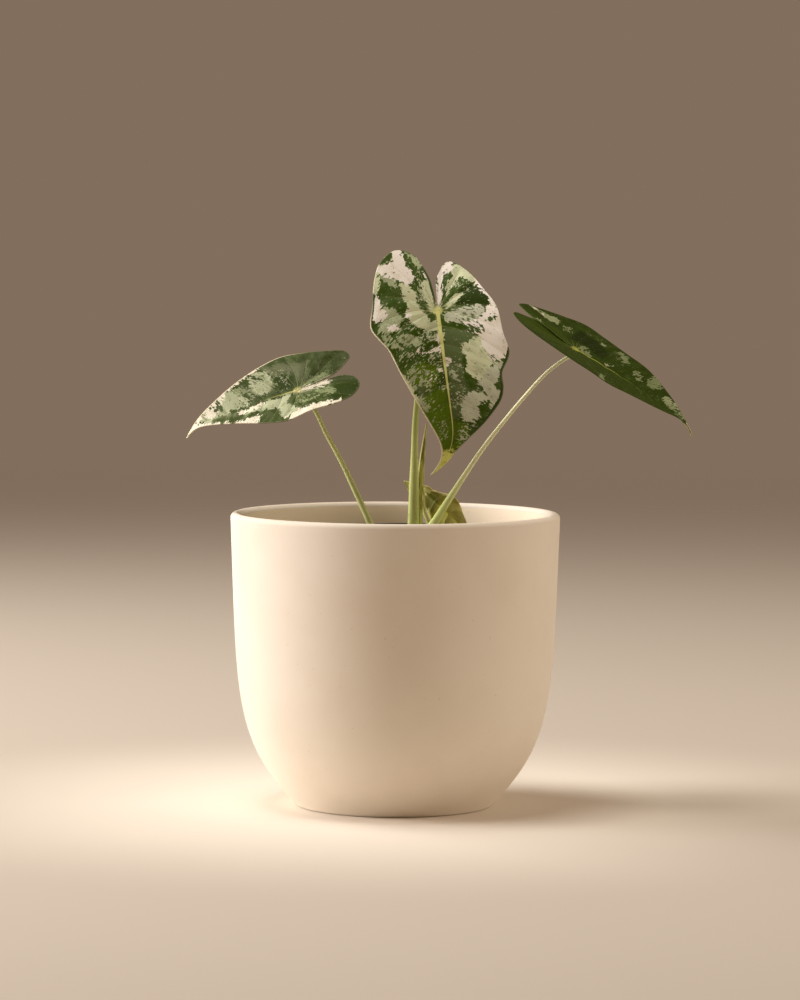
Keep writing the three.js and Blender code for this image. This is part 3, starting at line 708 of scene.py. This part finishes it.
def add_blade(name, leaf, spokes, rows, material):
    """A thin closed blade. Spokes run from the junction to the margin, with rows at shares of their
    length that rise as a power and round the margin off. The middle surface swells between the
    side veins. Both faces stand off it by half the thickness, the upper one raised along the
    midrib, and the lower one ridged along the midrib and the side veins."""
    margin = evenly(smooth_path(leaf["outline"]), spokes)
    share = np.concatenate([(np.arange(1, rows) / rows) ** ROW_POWER, LAST_ROWS])
    rows = len(share)
    half = BLADE_THICKNESS / 2 * np.append(np.ones(rows - 2), LAST_THICKNESS)[:, None]
    tangent = unit(np.gradient(margin[:, :2], axis=0))
    edge_gap = np.abs(margin[:, 0] * tangent[:, 1] - margin[:, 1] * tangent[:, 0])

    def whole(middle, grid):
        return np.concatenate([[middle], np.broadcast_to(grid, (rows, spokes)).ravel()])

    along = whole(0, share[:, None] * margin[:, 0])
    across = whole(0, share[:, None] * margin[:, 1])
    lift = whole(0, share[:, None] ** MARGIN_POWER * margin[:, 2])
    half = whole(BLADE_THICKNESS / 2, half)
    from_margin = whole(edge_gap.max(), (1 - share[:, None]) * edge_gap)

    start, gone, spread = vein_places(along, across)
    from_vein = (start - VEIN_OFFSET + VEIN_SPACING / 2) % VEIN_SPACING - VEIN_SPACING / 2
    from_vein = np.abs(from_vein) * spread
    inner = eased(from_margin, 0, 4)
    ahead = np.clip(1 - along / leaf["length"], 0, 1)
    swell = leaf["swell"] * inner * eased(np.hypot(along, across), 2, 12)
    swell = swell * (0.5 - np.exp(-(from_vein / 1.8) ** 2))
    rib = np.exp(-(across / (0.35 + 0.75 * ahead)) ** 2)
    rib = rib * eased(along, -4, 0) * eased(from_margin, 0, 0.6)
    ridges = rib * (0.2 + RIB_BELOW * ahead) + VEIN_BELOW * inner * np.exp(-(from_vein / 0.9) ** 2)

    index = 1 + np.arange(rows * spokes).reshape(rows, spokes)
    upper = [skin(index), fan(index[0][::-1], 0)]
    middle = blade_place(leaf, along, across, lift)
    middle = middle + point_normals(middle, upper) * swell[:, None]
    normals = point_normals(middle, upper)
    top = middle + normals * (half + RIB_ABOVE * rib)[:, None]
    bottom = (middle - normals * (half + ridges)[:, None])[:-spokes]
    count = len(top)
    low_index = np.concatenate([index[:-1] + count, index[-1:]])
    faces = [*upper, skin(low_index)[:, ::-1], fan(low_index[0], count)]
    points = np.concatenate([top, bottom]) @ leaf_turn(leaf).T + leaf["junction"]

    def both(values):
        return np.concatenate([values, values[:-spokes]])

    places = np.stack([along, across], -1)
    attributes = {kind: both(patch_depth(places, leaf.get(kind, ()))) for kind in PATCH_KINDS}
    attributes["underside"] = np.concatenate([np.zeros(count), np.ones(count - spokes)])
    attributes["from_margin"] = both(from_margin)
    attributes["spread"] = both(spread)
    maps = {"leaf": both(places), "veins": both(np.stack([start, gone], -1))}
    add_piece(name, make_mesh(name, points * MM, faces, material, attributes, maps), name)


# Stalks and the new leaf

def values_along(values, share):
    return np.interp(share, np.linspace(0, 1, len(values)), values)


def add_stalk(name, leaf, rows, sides, material):
    """A tapered tube up into the blade's underside, where it flares. At its foot the wing stands
    off it by the fourth power of how far a direction points the wing's way."""
    face = leaf_turn(leaf)[:, 2]
    ends = leaf["junction"] - np.outer(STALK_END_DEPTHS, face)

    def radius_at(share, angle, direction):
        stem = values_along(leaf["radii"], share) * (1 + FLARE * eased(share, FLARE_FROM, 1))
        if leaf["wing"] is None:
            return stem
        toward, height, reach = leaf["wing"]
        grown = height * np.sin(np.pi * np.clip(1 - share / reach, 0, 1) / 2)
        return stem + grown * np.maximum(0, direction @ unit(np.array(toward))) ** 4

    add_tube(name, [*leaf["path"], *ends.ravel()], radius_at, rows, sides, material, face)


def add_new_leaf(material):
    """A rolled blade: the section's radius grows once round and steps back at the open edge."""
    def radius_at(share, angle, direction):
        step = NEW_LEAF["seam_step"] * (angle / (2 * np.pi) - 0.5)
        return values_along(NEW_LEAF["radii"], share) * (1 + step)

    add_tube("new_leaf", NEW_LEAF["path"], radius_at, 140, 48, material)


# Pots

def add_ceramic_pot(material, height, rim, wall, floor, inside, base, foot_rise, foot_flare,
                    outer_handles, inner_handles):
    """The wall's outer and inner curves, a half round lip between them and a softened foot."""
    sides = 288
    lip = wall / 2
    lip_base = height - lip
    foot_edge = (base + foot_flare, foot_rise)
    outer = bezier(foot_edge, *outer_handles, (rim, lip_base), 70)
    inner = bezier((rim - wall, lip_base), *inner_handles, (inside, floor), 60)
    angle = np.linspace(0, np.pi, 17)[1:-1]
    arc = np.stack([rim - lip + lip * np.cos(angle), lip_base + lip * np.sin(angle)], -1)
    foot = bezier((base - 1.5, 0), (base + 0.6, 0), (base + 1.6, 0.2), foot_edge, 9)[:-1]
    under = [(0, 0), (20, 0), (36, 0)]
    profile = [*under, *foot, *outer, *arc, *inner, (inside - 8, floor), (24, floor), (0, floor)]
    points, faces = turned(profile, sides)
    inner_row = len(under) + len(foot) + len(outer) + len(arc) - 1
    # Points on the inside of the wall, where the finish paints a warmer, lighter tone as bounce
    # light.
    within = np.append(np.repeat(np.arange(len(profile) - 2) >= inner_row, sides), (False, True))
    mesh = make_mesh("ceramic_wall", points * MM, faces, material, {"inside": within})
    add_piece("ceramic_wall", mesh, "ceramic_pot")


def add_nursery_pot(material):
    """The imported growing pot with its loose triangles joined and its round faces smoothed."""
    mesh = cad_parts["nursery_pot"].data.copy()
    joined = bmesh.new()
    joined.from_mesh(mesh)
    bmesh.ops.remove_doubles(joined, verts=joined.verts, dist=1e-6)
    joined.to_mesh(mesh)
    joined.free()
    mesh.polygons.foreach_set("use_smooth", np.ones(len(mesh.polygons), bool))
    mesh.set_sharp_from_angle(angle=math.radians(32))
    mesh.materials.clear()
    mesh.materials.append(material)
    add_piece("growing_pot", mesh, "nursery_pot")


# Growing mix

WAVE_SIZES = (16, 11, 8, 6, 4.5, 3.4, 2.6, 2)
WAVE_HEIGHT = 0.018
CRUST_TOP = 0.35
CRUST_UNDER = 0.8
ROOM_ROUND_STALKS = 4.5
SUNK_SHARE = 0.18
TRIES = 6


def mound_height(x, y):
    """Height of the crust: the cosine of its mound and small waves in seeded directions."""
    rng = np.random.default_rng(SEED)
    share = np.clip(np.hypot(x - MIX_X, y) / MIX_RADIUS, 0, 1)
    height = MIX_SURFACE + MIX_DOME * np.cos(share * np.pi / 2)
    for size in WAVE_SIZES:
        for _ in range(3):
            way, phase = rng.uniform(0, 2 * np.pi, 2)
            wave = 2 * np.pi / size * (x * np.cos(way) + y * np.sin(way))
            height = height + WAVE_HEIGHT * size * np.sin(wave + phase)
    return height + CRUST_TOP


def add_mix_crust(material):
    """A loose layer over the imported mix: a disc whose top follows the crumbly mound."""
    radius = np.linspace(0, 1, 64)[1:] * (MIX_RADIUS - 0.5)
    crown = MIX_SURFACE - CRUST_UNDER
    low = [(r, crown + MIX_DOME * math.cos(r / MIX_RADIUS * math.pi / 2)) for r in radius]
    profile = [(0, crown + MIX_DOME), *low, *[(r, 0) for r in radius[::-1]], (0, 0)]
    points, faces = turned(profile, 200, MIX_X)
    raised = points[:, 2] == 0
    points[raised, 2] = mound_height(points[raised, 0], points[raised, 1])
    mesh = make_mesh("mix_crust", points * MM, faces, material)
    add_piece("mix_crust", mesh, "potting_mix", False)


def spun(first, second, angle):
    """Two coordinates of lumps turned by an angle for each lump."""
    cos, sin = np.cos(angle)[:, None], np.sin(angle)[:, None]
    return first * cos - second * sin, first * sin + second * cos


def add_granules(name, count, sizes, flat, tilt, seed, material):
    """Lumps on the mix: small globes swollen by two sine waves, stretched, turned and tilted at
    random and sunk part of the way in."""
    rng = np.random.default_rng(SEED + seed)
    rows, sides = 4, 7
    polar = np.repeat(np.pi * np.arange(1, rows + 1)[:, None] / (rows + 1), sides, 1).ravel()
    around = np.repeat(2 * np.pi * np.arange(sides)[None] / sides, rows, 0).ravel()
    globe = np.stack([
        np.sin(polar) * np.cos(around), np.sin(polar) * np.sin(around), -np.cos(polar),
    ], -1)
    globe = np.concatenate([globe, [[0, 0, -1], [0, 0, 1]]])
    phase = rng.uniform(0, 2 * np.pi, (2, count, 1))
    swollen = 0.16 * np.sin(6 * globe[:, 0] + phase[0]), 0.13 * np.sin(5 * globe[:, 1] + phase[1])
    size = rng.uniform(*sizes, (count, 1))
    shape = size[..., None] / 2 * np.stack([
        np.ones((count, 1)), rng.uniform(0.38, 0.8, (count, 1)), rng.uniform(*flat, (count, 1)),
    ], -1)
    lumps = globe * (1 + swollen[0] + swollen[1])[..., None] * shape
    lean, turn = rng.uniform(-tilt, tilt, count), rng.uniform(0, 2 * np.pi, count)
    x, y, z = np.moveaxis(lumps, -1, 0)
    x, z = spun(x, z, lean)
    x, y = spun(x, y, turn)
    out = (MIX_RADIUS - sizes[1] / 2 - 1) * np.sqrt(rng.uniform(0, 1, TRIES * count))
    way = rng.uniform(0, 2 * np.pi, TRIES * count)
    spot = np.stack([MIX_X + out * np.cos(way), out * np.sin(way)], -1)
    feet = np.array([grown["path"][3:5] for grown in (LEFT, CENTRE, RIGHT, SMALL, NEW_LEAF)])
    clear = np.linalg.norm(spot[:, None] - feet, axis=-1).min(1) > ROOM_ROUND_STALKS + sizes[1] / 2
    spot = spot[clear][:count]
    rise = mound_height(spot[:, 0], spot[:, 1]) + SUNK_SHARE * size[:, 0] * flat[0]
    points = np.stack([x + spot[:, :1], y + spot[:, 1:], z + rise[:, None]], -1).reshape(-1, 3)
    first = np.arange(count)[:, None, None] * len(globe)
    faces = [(part[None] + first).reshape(-1, part.shape[1]) for part in capped(rows, sides)]
    tint = np.repeat(rng.uniform(0, 1, count), len(globe))
    mesh = make_mesh(name, points * MM, faces, material, {"tint": tint})
    add_piece(name, mesh, "potting_mix", False)


# Finishes

CREAM = (236, 226, 210)
CREAM_SHADE = (232, 220, 202)
# The inside wall's tone is warmer and lighter than the outside's: painted bounce light, standing
# for light thrown round inside the pot.
CREAM_INSIDE_PAINTED_BOUNCE = (255, 238, 210)
CREAM_SPECK = (190, 170, 144)
BLACK, DUST = (30, 29, 28), (66, 60, 53)
FLECK = (104, 74, 52)


def ceramic_finish():
    """Unglazed cream stoneware: nearly even, with faint clouds, a fine grain and a few specks, and
    warmer, lighter painted bounce light on the inside wall.
    """
    look = Finish("cream_stoneware", 0.25)
    place = look.in_mm()
    clouds = look.noise(place, 0.018, 3.0)
    grain = look.noise(place, 1.1, 4.0, 0.65)
    specks = look.step(look.noise(place, 0.55, 2.0), 0.71, 0.76)
    colour = look.mix(
        CREAM, (CREAM_SHADE, look.step(clouds, 0.35, 0.7)),
        # Painted bounce light: the inside wall in its warmer, lighter tone.
        (CREAM_INSIDE_PAINTED_BOUNCE, look.attribute("inside")), (CREAM_SPECK, specks * 0.35),
    )
    relief = (grain - 0.5) * 0.05 + (clouds - 0.5) * 0.3
    return look.finish(colour, look.step(grain, 0.3, 0.7, 0.66, 0.78), relief)


def plastic_finish():
    """Moulded black plastic, dusty and lightly scuffed."""
    look = Finish("black_plastic", 0.4)
    dust = look.step(look.noise(look.in_mm(), 0.12, 4.0), 0.45, 0.75)
    scuffs = look.noise(look.in_mm(1.6, 0.12), 1.0, 3.0)
    roughness = look.step(scuffs, 0.3, 0.7, 0.42, 0.62)
    return look.finish(look.mix(BLACK, (DUST, dust * 0.5)), roughness, scuffs * 0.04)


def crumb_finish(name, dark, light, size, grain):
    """Earthy crumbs: two tones in clouds of the given size and a rough grain."""
    look = Finish(name, 0.2)
    place = look.in_mm()
    clouds = look.noise(place, 1 / size, 4.0, 0.65)
    fine = look.noise(place, 2.4, 3.0, 0.7)
    colour = look.mix(dark, (light, look.step(clouds + (fine - 0.5) * 0.5, 0.36, 0.68)))
    return look.finish(colour, look.step(fine, 0.3, 0.7, 0.78, 0.95), clouds * grain + fine * 0.25)


def granule_finish(name, dark, light, grain, upward=1.0):
    """Chips and grains, each with its own tint between the two tones, with streaks of both."""
    look = Finish(name, 0.25)
    fibre = look.noise(look.in_mm(1.0, upward), 1.1, 4.0, 0.6)
    tint = look.attribute("tint") + (fibre - 0.5) * 1.2
    colour = look.mix(dark, (light, look.step(tint, 0.1, 0.9)))
    return look.finish(colour, look.step(fibre, 0.3, 0.7, 0.7, 0.9), fibre * grain)


def stalk_finish(name, foot, middle, head, flecks, change=(0.1, 0.32)):
    """A stalk whose colour runs from foot to head, with darker streaks along its length, and
    flecked.
    """
    look = Finish(name, 0.35)
    share = look.attribute("share")
    streak_noise = look.noise(look.vector(look.attribute("side"), look.attribute("front"), share), 1.3, 0.0)
    blotches = look.noise(look.in_mm(1.0, 0.35), 0.8, 3.0)
    layers = (middle, look.step(share, *change)), (head, look.step(share, 0.45, 0.95))
    colour = look.mix(foot, *layers)
    # A darker copy of the colour, laid on in streaks that run along the stalk.
    streak_tone = look.node("ShaderNodeHueSaturation", {"Value": 0.88, "Color": colour})
    dots = look.step(blotches, 0.62, 0.7) * look.step(share, 0.9, 0.3) * flecks
    colour = look.mix(colour, (streak_tone, look.step(streak_noise, 0.4, 0.6)), (FLECK, dots))
    return look.finish(colour, look.step(blotches, 0.3, 0.7, 0.42, 0.54), blotches * 0.02)


def new_leaf_finish():
    """The rolled blade: olive outside, pale streaks, a painted highlight down the left side."""
    look = Finish("rolled_leaf", 0.4)
    streaks = look.noise(look.in_mm(1.0, 0.12), 0.9, 3.0)
    colour = look.mix(
        (220, 220, 130), ((196, 196, 100), look.step(look.attribute("share"), 0.1, 0.6)),
        ((124, 122, 16), look.step(streaks, 0.46, 0.54) * 0.85),
        # Painted highlight: a pale strip down the side that faces the left lamp.
        ((226, 224, 150), look.step((look.attribute("turn") - 3.3).absolute(), 0.75, 0.45)),
    )
    return look.finish(colour, look.step(streaks, 0.3, 0.7, 0.4, 0.5), streaks * 0.12)


# Tones of the blades. rolled is painted shade in curled margins, and rim a painted highlight along
# the margin.
BLADE_TONES = {
    "dark": (59, 84, 6), "green": (78, 98, 42), "deep": (44, 62, 0), "fresh": (92, 120, 6),
    "dull": (92, 108, 62), "grey": (184, 197, 154), "grey_shade": (162, 170, 134),
    "pale": (218, 224, 184), "white": (252, 247, 236), "white_shade": (240, 234, 214),
    "vein": (190, 196, 118), "rib": (232, 236, 150), "rim": (240, 228, 196),
    "rolled": (56, 76, 22), "tip": (250, 255, 140), "under": (136, 150, 100),
}

MIDRIB_TAIL = 0.15


def blade_finish(name, seed, speckle, head=1.0, length=74.0, fade_from=76.0, fade_to=84.0,
                 strength=1.0, veins=0.08, near_veins=0.6, rim_width=0.8, tip_from=74.0,
                 ragged=1.0, edge=0.14, dull_edge=(-0.6, 0.4), pale_side=0.0, **tones):
    """A variegated blade. Over the green lie speckles, then patches of grey green, pale green,
    cream and dark green, whose edges are broken up by noise drawn out along the side veins. The
    green is mottled with deeper, fresher and greyer green patches, and on the left blade one of the
    greyer ones is a band of painted sheen. The rolled patches are painted dark green as the shade
    in curled margins and along the notch, and a line in the rim tone along the margin, strongest
    where across is below zero past the junction, is a painted highlight where the left lamp catches
    the edge. The midrib and the side veins are pale, the lower face is duller, and a fine net gives
    relief.

    The midrib narrows from the half width head over its length and fades out from fade_from to
    fade_to, and strength is how much it shows. veins and near_veins are the strengths of the side
    veins, everywhere and near the junction. The pale tip starts at tip_from. rim_width is how far
    the painted highlight reaches in from the margin. ragged is how far noise moves the patches'
    edges, edge and dull_edge how soft they are, and pale_side how much paler the grey is painted,
    as painted light, where across is above zero. The tones go over BLADE_TONES."""
    tones = {**BLADE_TONES, **tones}
    look = Finish(name, 0.12)
    step, mix, noise = look.step, look.mix, look.noise
    vector, attribute = look.vector, look.attribute
    along, across = look.uv("leaf")
    start, gone = look.uv("veins")
    flat = vector(along, across, seed)
    blotches = noise(vector(start, gone * 0.45, seed), 0.36, 2.0, 0.5)
    blotches_too = noise(vector(start, gone * 0.5, seed + 40.0), 0.3, 2.0, 0.5)
    flecks = noise(vector(start * 1.1, gone * 0.6, seed + 9.0), 0.8, 2.0, 0.55)
    grains = noise(vector(start * 1.2, gone * 0.7, seed + 15.0), 1.15, 1.0, 0.5)
    fine = noise(flat, 1.5, 2.0, 0.5)
    wander = ((blotches - 0.5) * 4.5 + (flecks - 0.5) * 6.0) * ragged
    wander_too = ((blotches_too - 0.5) * 4.5 - (flecks - 0.5) * 6.0) * ragged

    def within(kind, moved, low=-edge, high=edge):
        return step(attribute(kind) + moved, low, high)

    green = mix(
        tones["dark"], (tones["green"], step(blotches_too + (fine - 0.5) * 0.6, 0.4, 0.62)),
        (tones["deep"], within("deep", wander_too * 0.5, -1.5, 1.0)),
        (tones["fresh"], within("fresh", wander * 0.6, -2.0, 1.5)),
        (tones["dull"], within("dull", wander_too * 0.8, *dull_edge)),
    )
    crowd = step(blotches_too, 0.46, 0.6)
    flecked = step(attribute("flecked"), -1.5, 2.0) * (crowd * 0.55 + 0.45)
    stray = step(grains + crowd * 0.03 + flecked * 0.19, 0.695, 0.745)
    stray = stray * (flecked * 0.4 + 0.6) * speckle
    specks = mix(tones["grey"], (tones["white_shade"], step(fine, 0.48, 0.66)))
    grey = mix(
        tones["grey"], (tones["grey_shade"], step(fine + blotches - 0.5, 0.35, 0.7)),
        # Painted light: where across is above zero the grey turns paler by pale_side.
        (tones["white"], step(across, 0.0, 8.0) * pale_side),
    )
    pale = mix(tones["pale"], (tones["grey"], step(blotches_too, 0.52, 0.66) * 0.6))
    shade = step(blotches_too + (fine - 0.5) * 0.5, 0.5, 0.68)
    white = mix(tones["white"], (tones["white_shade"], shade))
    marked = step(attribute("marked"), -1.0, 1.5)
    holes = step(flecks - crowd * 0.07 - marked * 0.13, 0.3, 0.27) * 0.85

    from_margin, underside = attribute("from_margin"), attribute("underside")
    out = look.length(vector(along, across))
    near = step(out, 11.0, 1.0)
    from_vein = (start + (10 * VEIN_SPACING - VEIN_OFFSET)).to_nearest(VEIN_SPACING)
    from_vein = from_vein * attribute("spread")
    vein = step(from_vein, 0.42, 0.1) * step(from_margin, 1.0, 9.0)
    half_width = step(along, -3.0, length, head, MIDRIB_TAIL)
    rib = step(across.absolute() - half_width, 0.16, -0.14) * step(along, -3.5, 0.0)
    rib = rib * step(along, fade_to, fade_from)
    star = step(out + (fine - 0.5) * 2.0, 3.2, 1.2)
    # The half where across is below zero, past the junction, on which the margin's painted
    # highlight is strongest.
    side = step(across, 1.0, -1.0) * step(along, -12.0, 12.0)
    colour = mix(
        green, (specks, stray), (grey, within("grey", wander)), (pale, within("pale", wander_too)),
        (white, within("white", wander)), (green, holes), (green, within("dark", wander_too)),
        # rolled: painted shade in the curled margins and along the notch.
        (tones["rolled"], within("rolled", (fine - 0.5) * 1.2, -0.1, 0.2)),
        (tones["vein"], vein * (underside * 0.6 + near * near_veins + veins)),
        (tones["rib"], rib * strength), (tones["rib"], star * 0.9 * strength),
        (tones["tip"], step(along + wander * 1.5, tip_from - 2.0, tip_from + 2.0)),
        # rim: a painted highlight along the margin, in the rim tone of each blade.
        (tones["rim"], step(from_margin, rim_width, 0.2) * (side * 0.9 + 0.1)),
        (tones["under"], underside * (1 - rib) * 0.42),
    )
    cells = {"Vector": flat, "Scale": 0.75}
    net = look.node("ShaderNodeTexVoronoi", cells, feature="DISTANCE_TO_EDGE")
    relief = step(net, 0.0, 0.35) * 0.05 + fine * 0.04 + vein * (underside * 0.3 - 0.12) + rib * 0.1
    return look.finish(colour, step(blotches, 0.3, 0.7, 0.5, 0.6) + underside * 0.12, relief)


# The room: a pale floor that fades out into an even backdrop, and soft lamps

FLOOR_RADIUS = 3.3
LAMPS = (
    ("window_left", (-1.9, 0.12, 0.6), (0, 0, 0.12), 1.0, 39, (1.0, 0.95, 0.95)),
    ("fill_right", (1.6, 0.0, 0.5), (0, 0, 0.12), 1.0, 9.5, (1.0, 0.88, 0.75)),
    ("ceiling", (-0.3, -0.1, 1.9), (0, 0, 0.12), 0.7, 16, (1.0, 0.95, 0.88)),
    ("window_high", (-1.3, 0.75, 1.15), (0, 0, 0.15), 0.8, 11, (1.0, 0.96, 0.9)),
)


def make_floor():
    """A flat disc of pale plaster, lighter round the pot as a painted pool of light, darker further
    out, and then see-through towards its rim.
    """
    look = Finish("pale_floor", 0.2)
    far = look.length(look.place())
    clouds = look.noise(look.place(), 6.0, 3.0)
    # Lighter near the middle than further out: a painted pool of light round the pot.
    near = look.mix((241, 233, 220), ((237, 228, 214), clouds))
    look.finish(look.mix(near, ((200, 190, 176), look.step(far, 0.05, 0.32))), 0.85)
    clear = look.node("ShaderNodeBsdfTransparent")
    surface = Wire(look, look.surface.outputs[0])
    blend = look.node("ShaderNodeMixShader", (look.step(far, 0.9, 3.2), surface, clear))
    look.fill(look.output, (blend,))
    rows, sides = 24, 96
    radius = FLOOR_RADIUS * np.linspace(0, 1, rows + 1)[1:]
    points = np.concatenate([rings(radius, 0 * radius, sides), [(0, 0, 0)]])
    index = np.arange(rows * sides).reshape(rows, sides)
    faces = [skin(index)[:, ::-1], fan(index[0], rows * sides)]
    put("floor", make_mesh("floor", points, faces, look.material))


def make_light():
    world = bpy.data.worlds.new("room")
    world.use_nodes = True
    background = world.node_tree.nodes["Background"]
    background.inputs["Color"].default_value = tone(202, 172, 146)
    background.inputs["Strength"].default_value = 0.38
    bpy.context.scene.world = world
    bpy.context.scene.view_settings.view_transform = "Standard"
    for name, place, towards, size, power, colour in LAMPS:
        data = bpy.data.lights.new(name, "AREA")
        data.shape = "DISK"
        data.size = size
        data.energy = power
        data.color = colour
        lamp = put(name, data)
        facing = (Vector(towards) - Vector(place)).to_track_quat("-Z", "Y").to_matrix().to_4x4()
        lamp.matrix_world = Matrix.Translation(place) @ facing
        lamp.visible_camera = False


# Assembly

make_camera()
make_light()
make_floor()

add_ceramic_pot(ceramic_finish(), **CERAMIC)
add_nursery_pot(plastic_finish())
mix_look = crumb_finish("moist_mix", (38, 29, 22), (78, 60, 45), 3.0, 0.5)
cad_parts["potting_mix"].material_slots[0].material = mix_look
add_mix_crust(mix_look)
add_granules("peat_crumbs", 900, (1.2, 3.2), (0.5, 0.9), 0.6, 1,
             granule_finish("peat", (40, 30, 22), (96, 74, 54), 0.25))
add_granules("bark_chips", 130, (4.0, 9.5), (0.14, 0.28), 0.35, 2,
             granule_finish("bark", (58, 42, 30), (118, 92, 66), 0.5, 0.4))
add_granules("perlite_grains", 170, (1.6, 3.6), (0.6, 0.95), 0.8, 3,
             granule_finish("perlite", (206, 200, 188), (238, 234, 224), 0.3))
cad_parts["corm_roots"].material_slots[0].material = crumb_finish(
    "corm_skin", (104, 72, 44), (168, 130, 88), 5.0, 0.4)

# Stalk tones are lifted paler than the stalks' own colour as painted light, standing for lamp light
# that the leaves keep off them; the right stalk's most, up to full yellow-white.
for side, leaf, rows, sides, tones in (
    ("left", LEFT, 170, 24, ((228, 236, 160), (218, 226, 150), (222, 228, 156), 0.2)),
    ("centre", CENTRE, 190, 28, ((226, 236, 148), (206, 216, 128), (166, 178, 92), 0.35)),
    ("right", RIGHT, 190, 26,
     ((238, 255, 156), (255, 255, 202), (255, 255, 214), 0.05, (0.28, 0.5))),
    ("small", SMALL, 80, 20, ((222, 222, 140), (216, 216, 134), (200, 202, 120), 0.3)),
):
    add_stalk("petiole_" + side, leaf, rows, sides, stalk_finish("stalk_" + side, *tones))
add_new_leaf(new_leaf_finish())

add_blade("blade_left", LEFT, 400, 50, blade_finish(
    "left_blade", 7.0, 0.7,
    # The left blade's greyer green tone also paints its band of sheen.
    dark=(57, 71, 18), green=(80, 93, 51), fresh=(42, 60, 0), dull=(104, 111, 77),
    grey=(146, 157, 114), grey_shade=(128, 140, 96), pale=(180, 187, 152),
    white=(240, 234, 212), white_shade=(226, 222, 196), rib=(206, 202, 130),
    tip=(244, 236, 206),
    head=0.6, length=30.0, fade_from=0.0, fade_to=26.0, strength=0.7, near_veins=0.12,
    tip_from=56.0, ragged=1.35, edge=0.4, dull_edge=(-2.0, 2.0),
))
# The centre blade's grey is painted paler on one half, as painted light.
add_blade("blade_centre", CENTRE, 440, 60, blade_finish("centre_blade", 21.0, 0.9, pale_side=0.3))
add_blade("blade_right", RIGHT, 420, 54, blade_finish(
    "right_blade", 33.0, 0.35,
    dark=(46, 62, 0), green=(52, 70, 6), deep=(34, 48, 0), fresh=(56, 74, 4),
    grey=(136, 146, 104), grey_shade=(116, 128, 84), pale=(154, 162, 120),
    white=(222, 218, 190), rib=(176, 180, 80), rim=(60, 78, 16), tip=(220, 208, 160),
    head=0.5, length=46.0, fade_from=16.0, fade_to=50.0, veins=0.02, near_veins=0.2,
    rim_width=0.25, tip_from=69.0,
))
# The small leaf's tones, its dark green too, are lifted far paler than its own colour as painted
# light, for the lamp light it misses down among the stalks.
add_blade("small_leaf", SMALL, 240, 26, blade_finish(
    "crinkled_blade", 48.0, 0.1,
    dark=(186, 176, 44), green=(196, 186, 60), deep=(96, 102, 4), fresh=(206, 200, 96),
    grey=(222, 214, 166), grey_shade=(210, 202, 150), pale=(255, 252, 196),
    rim=(230, 222, 160), under=(206, 202, 130),
    strength=0.1, veins=0.0, near_veins=0.0, rim_width=0.6, tip_from=40.0, ragged=0.4,
))
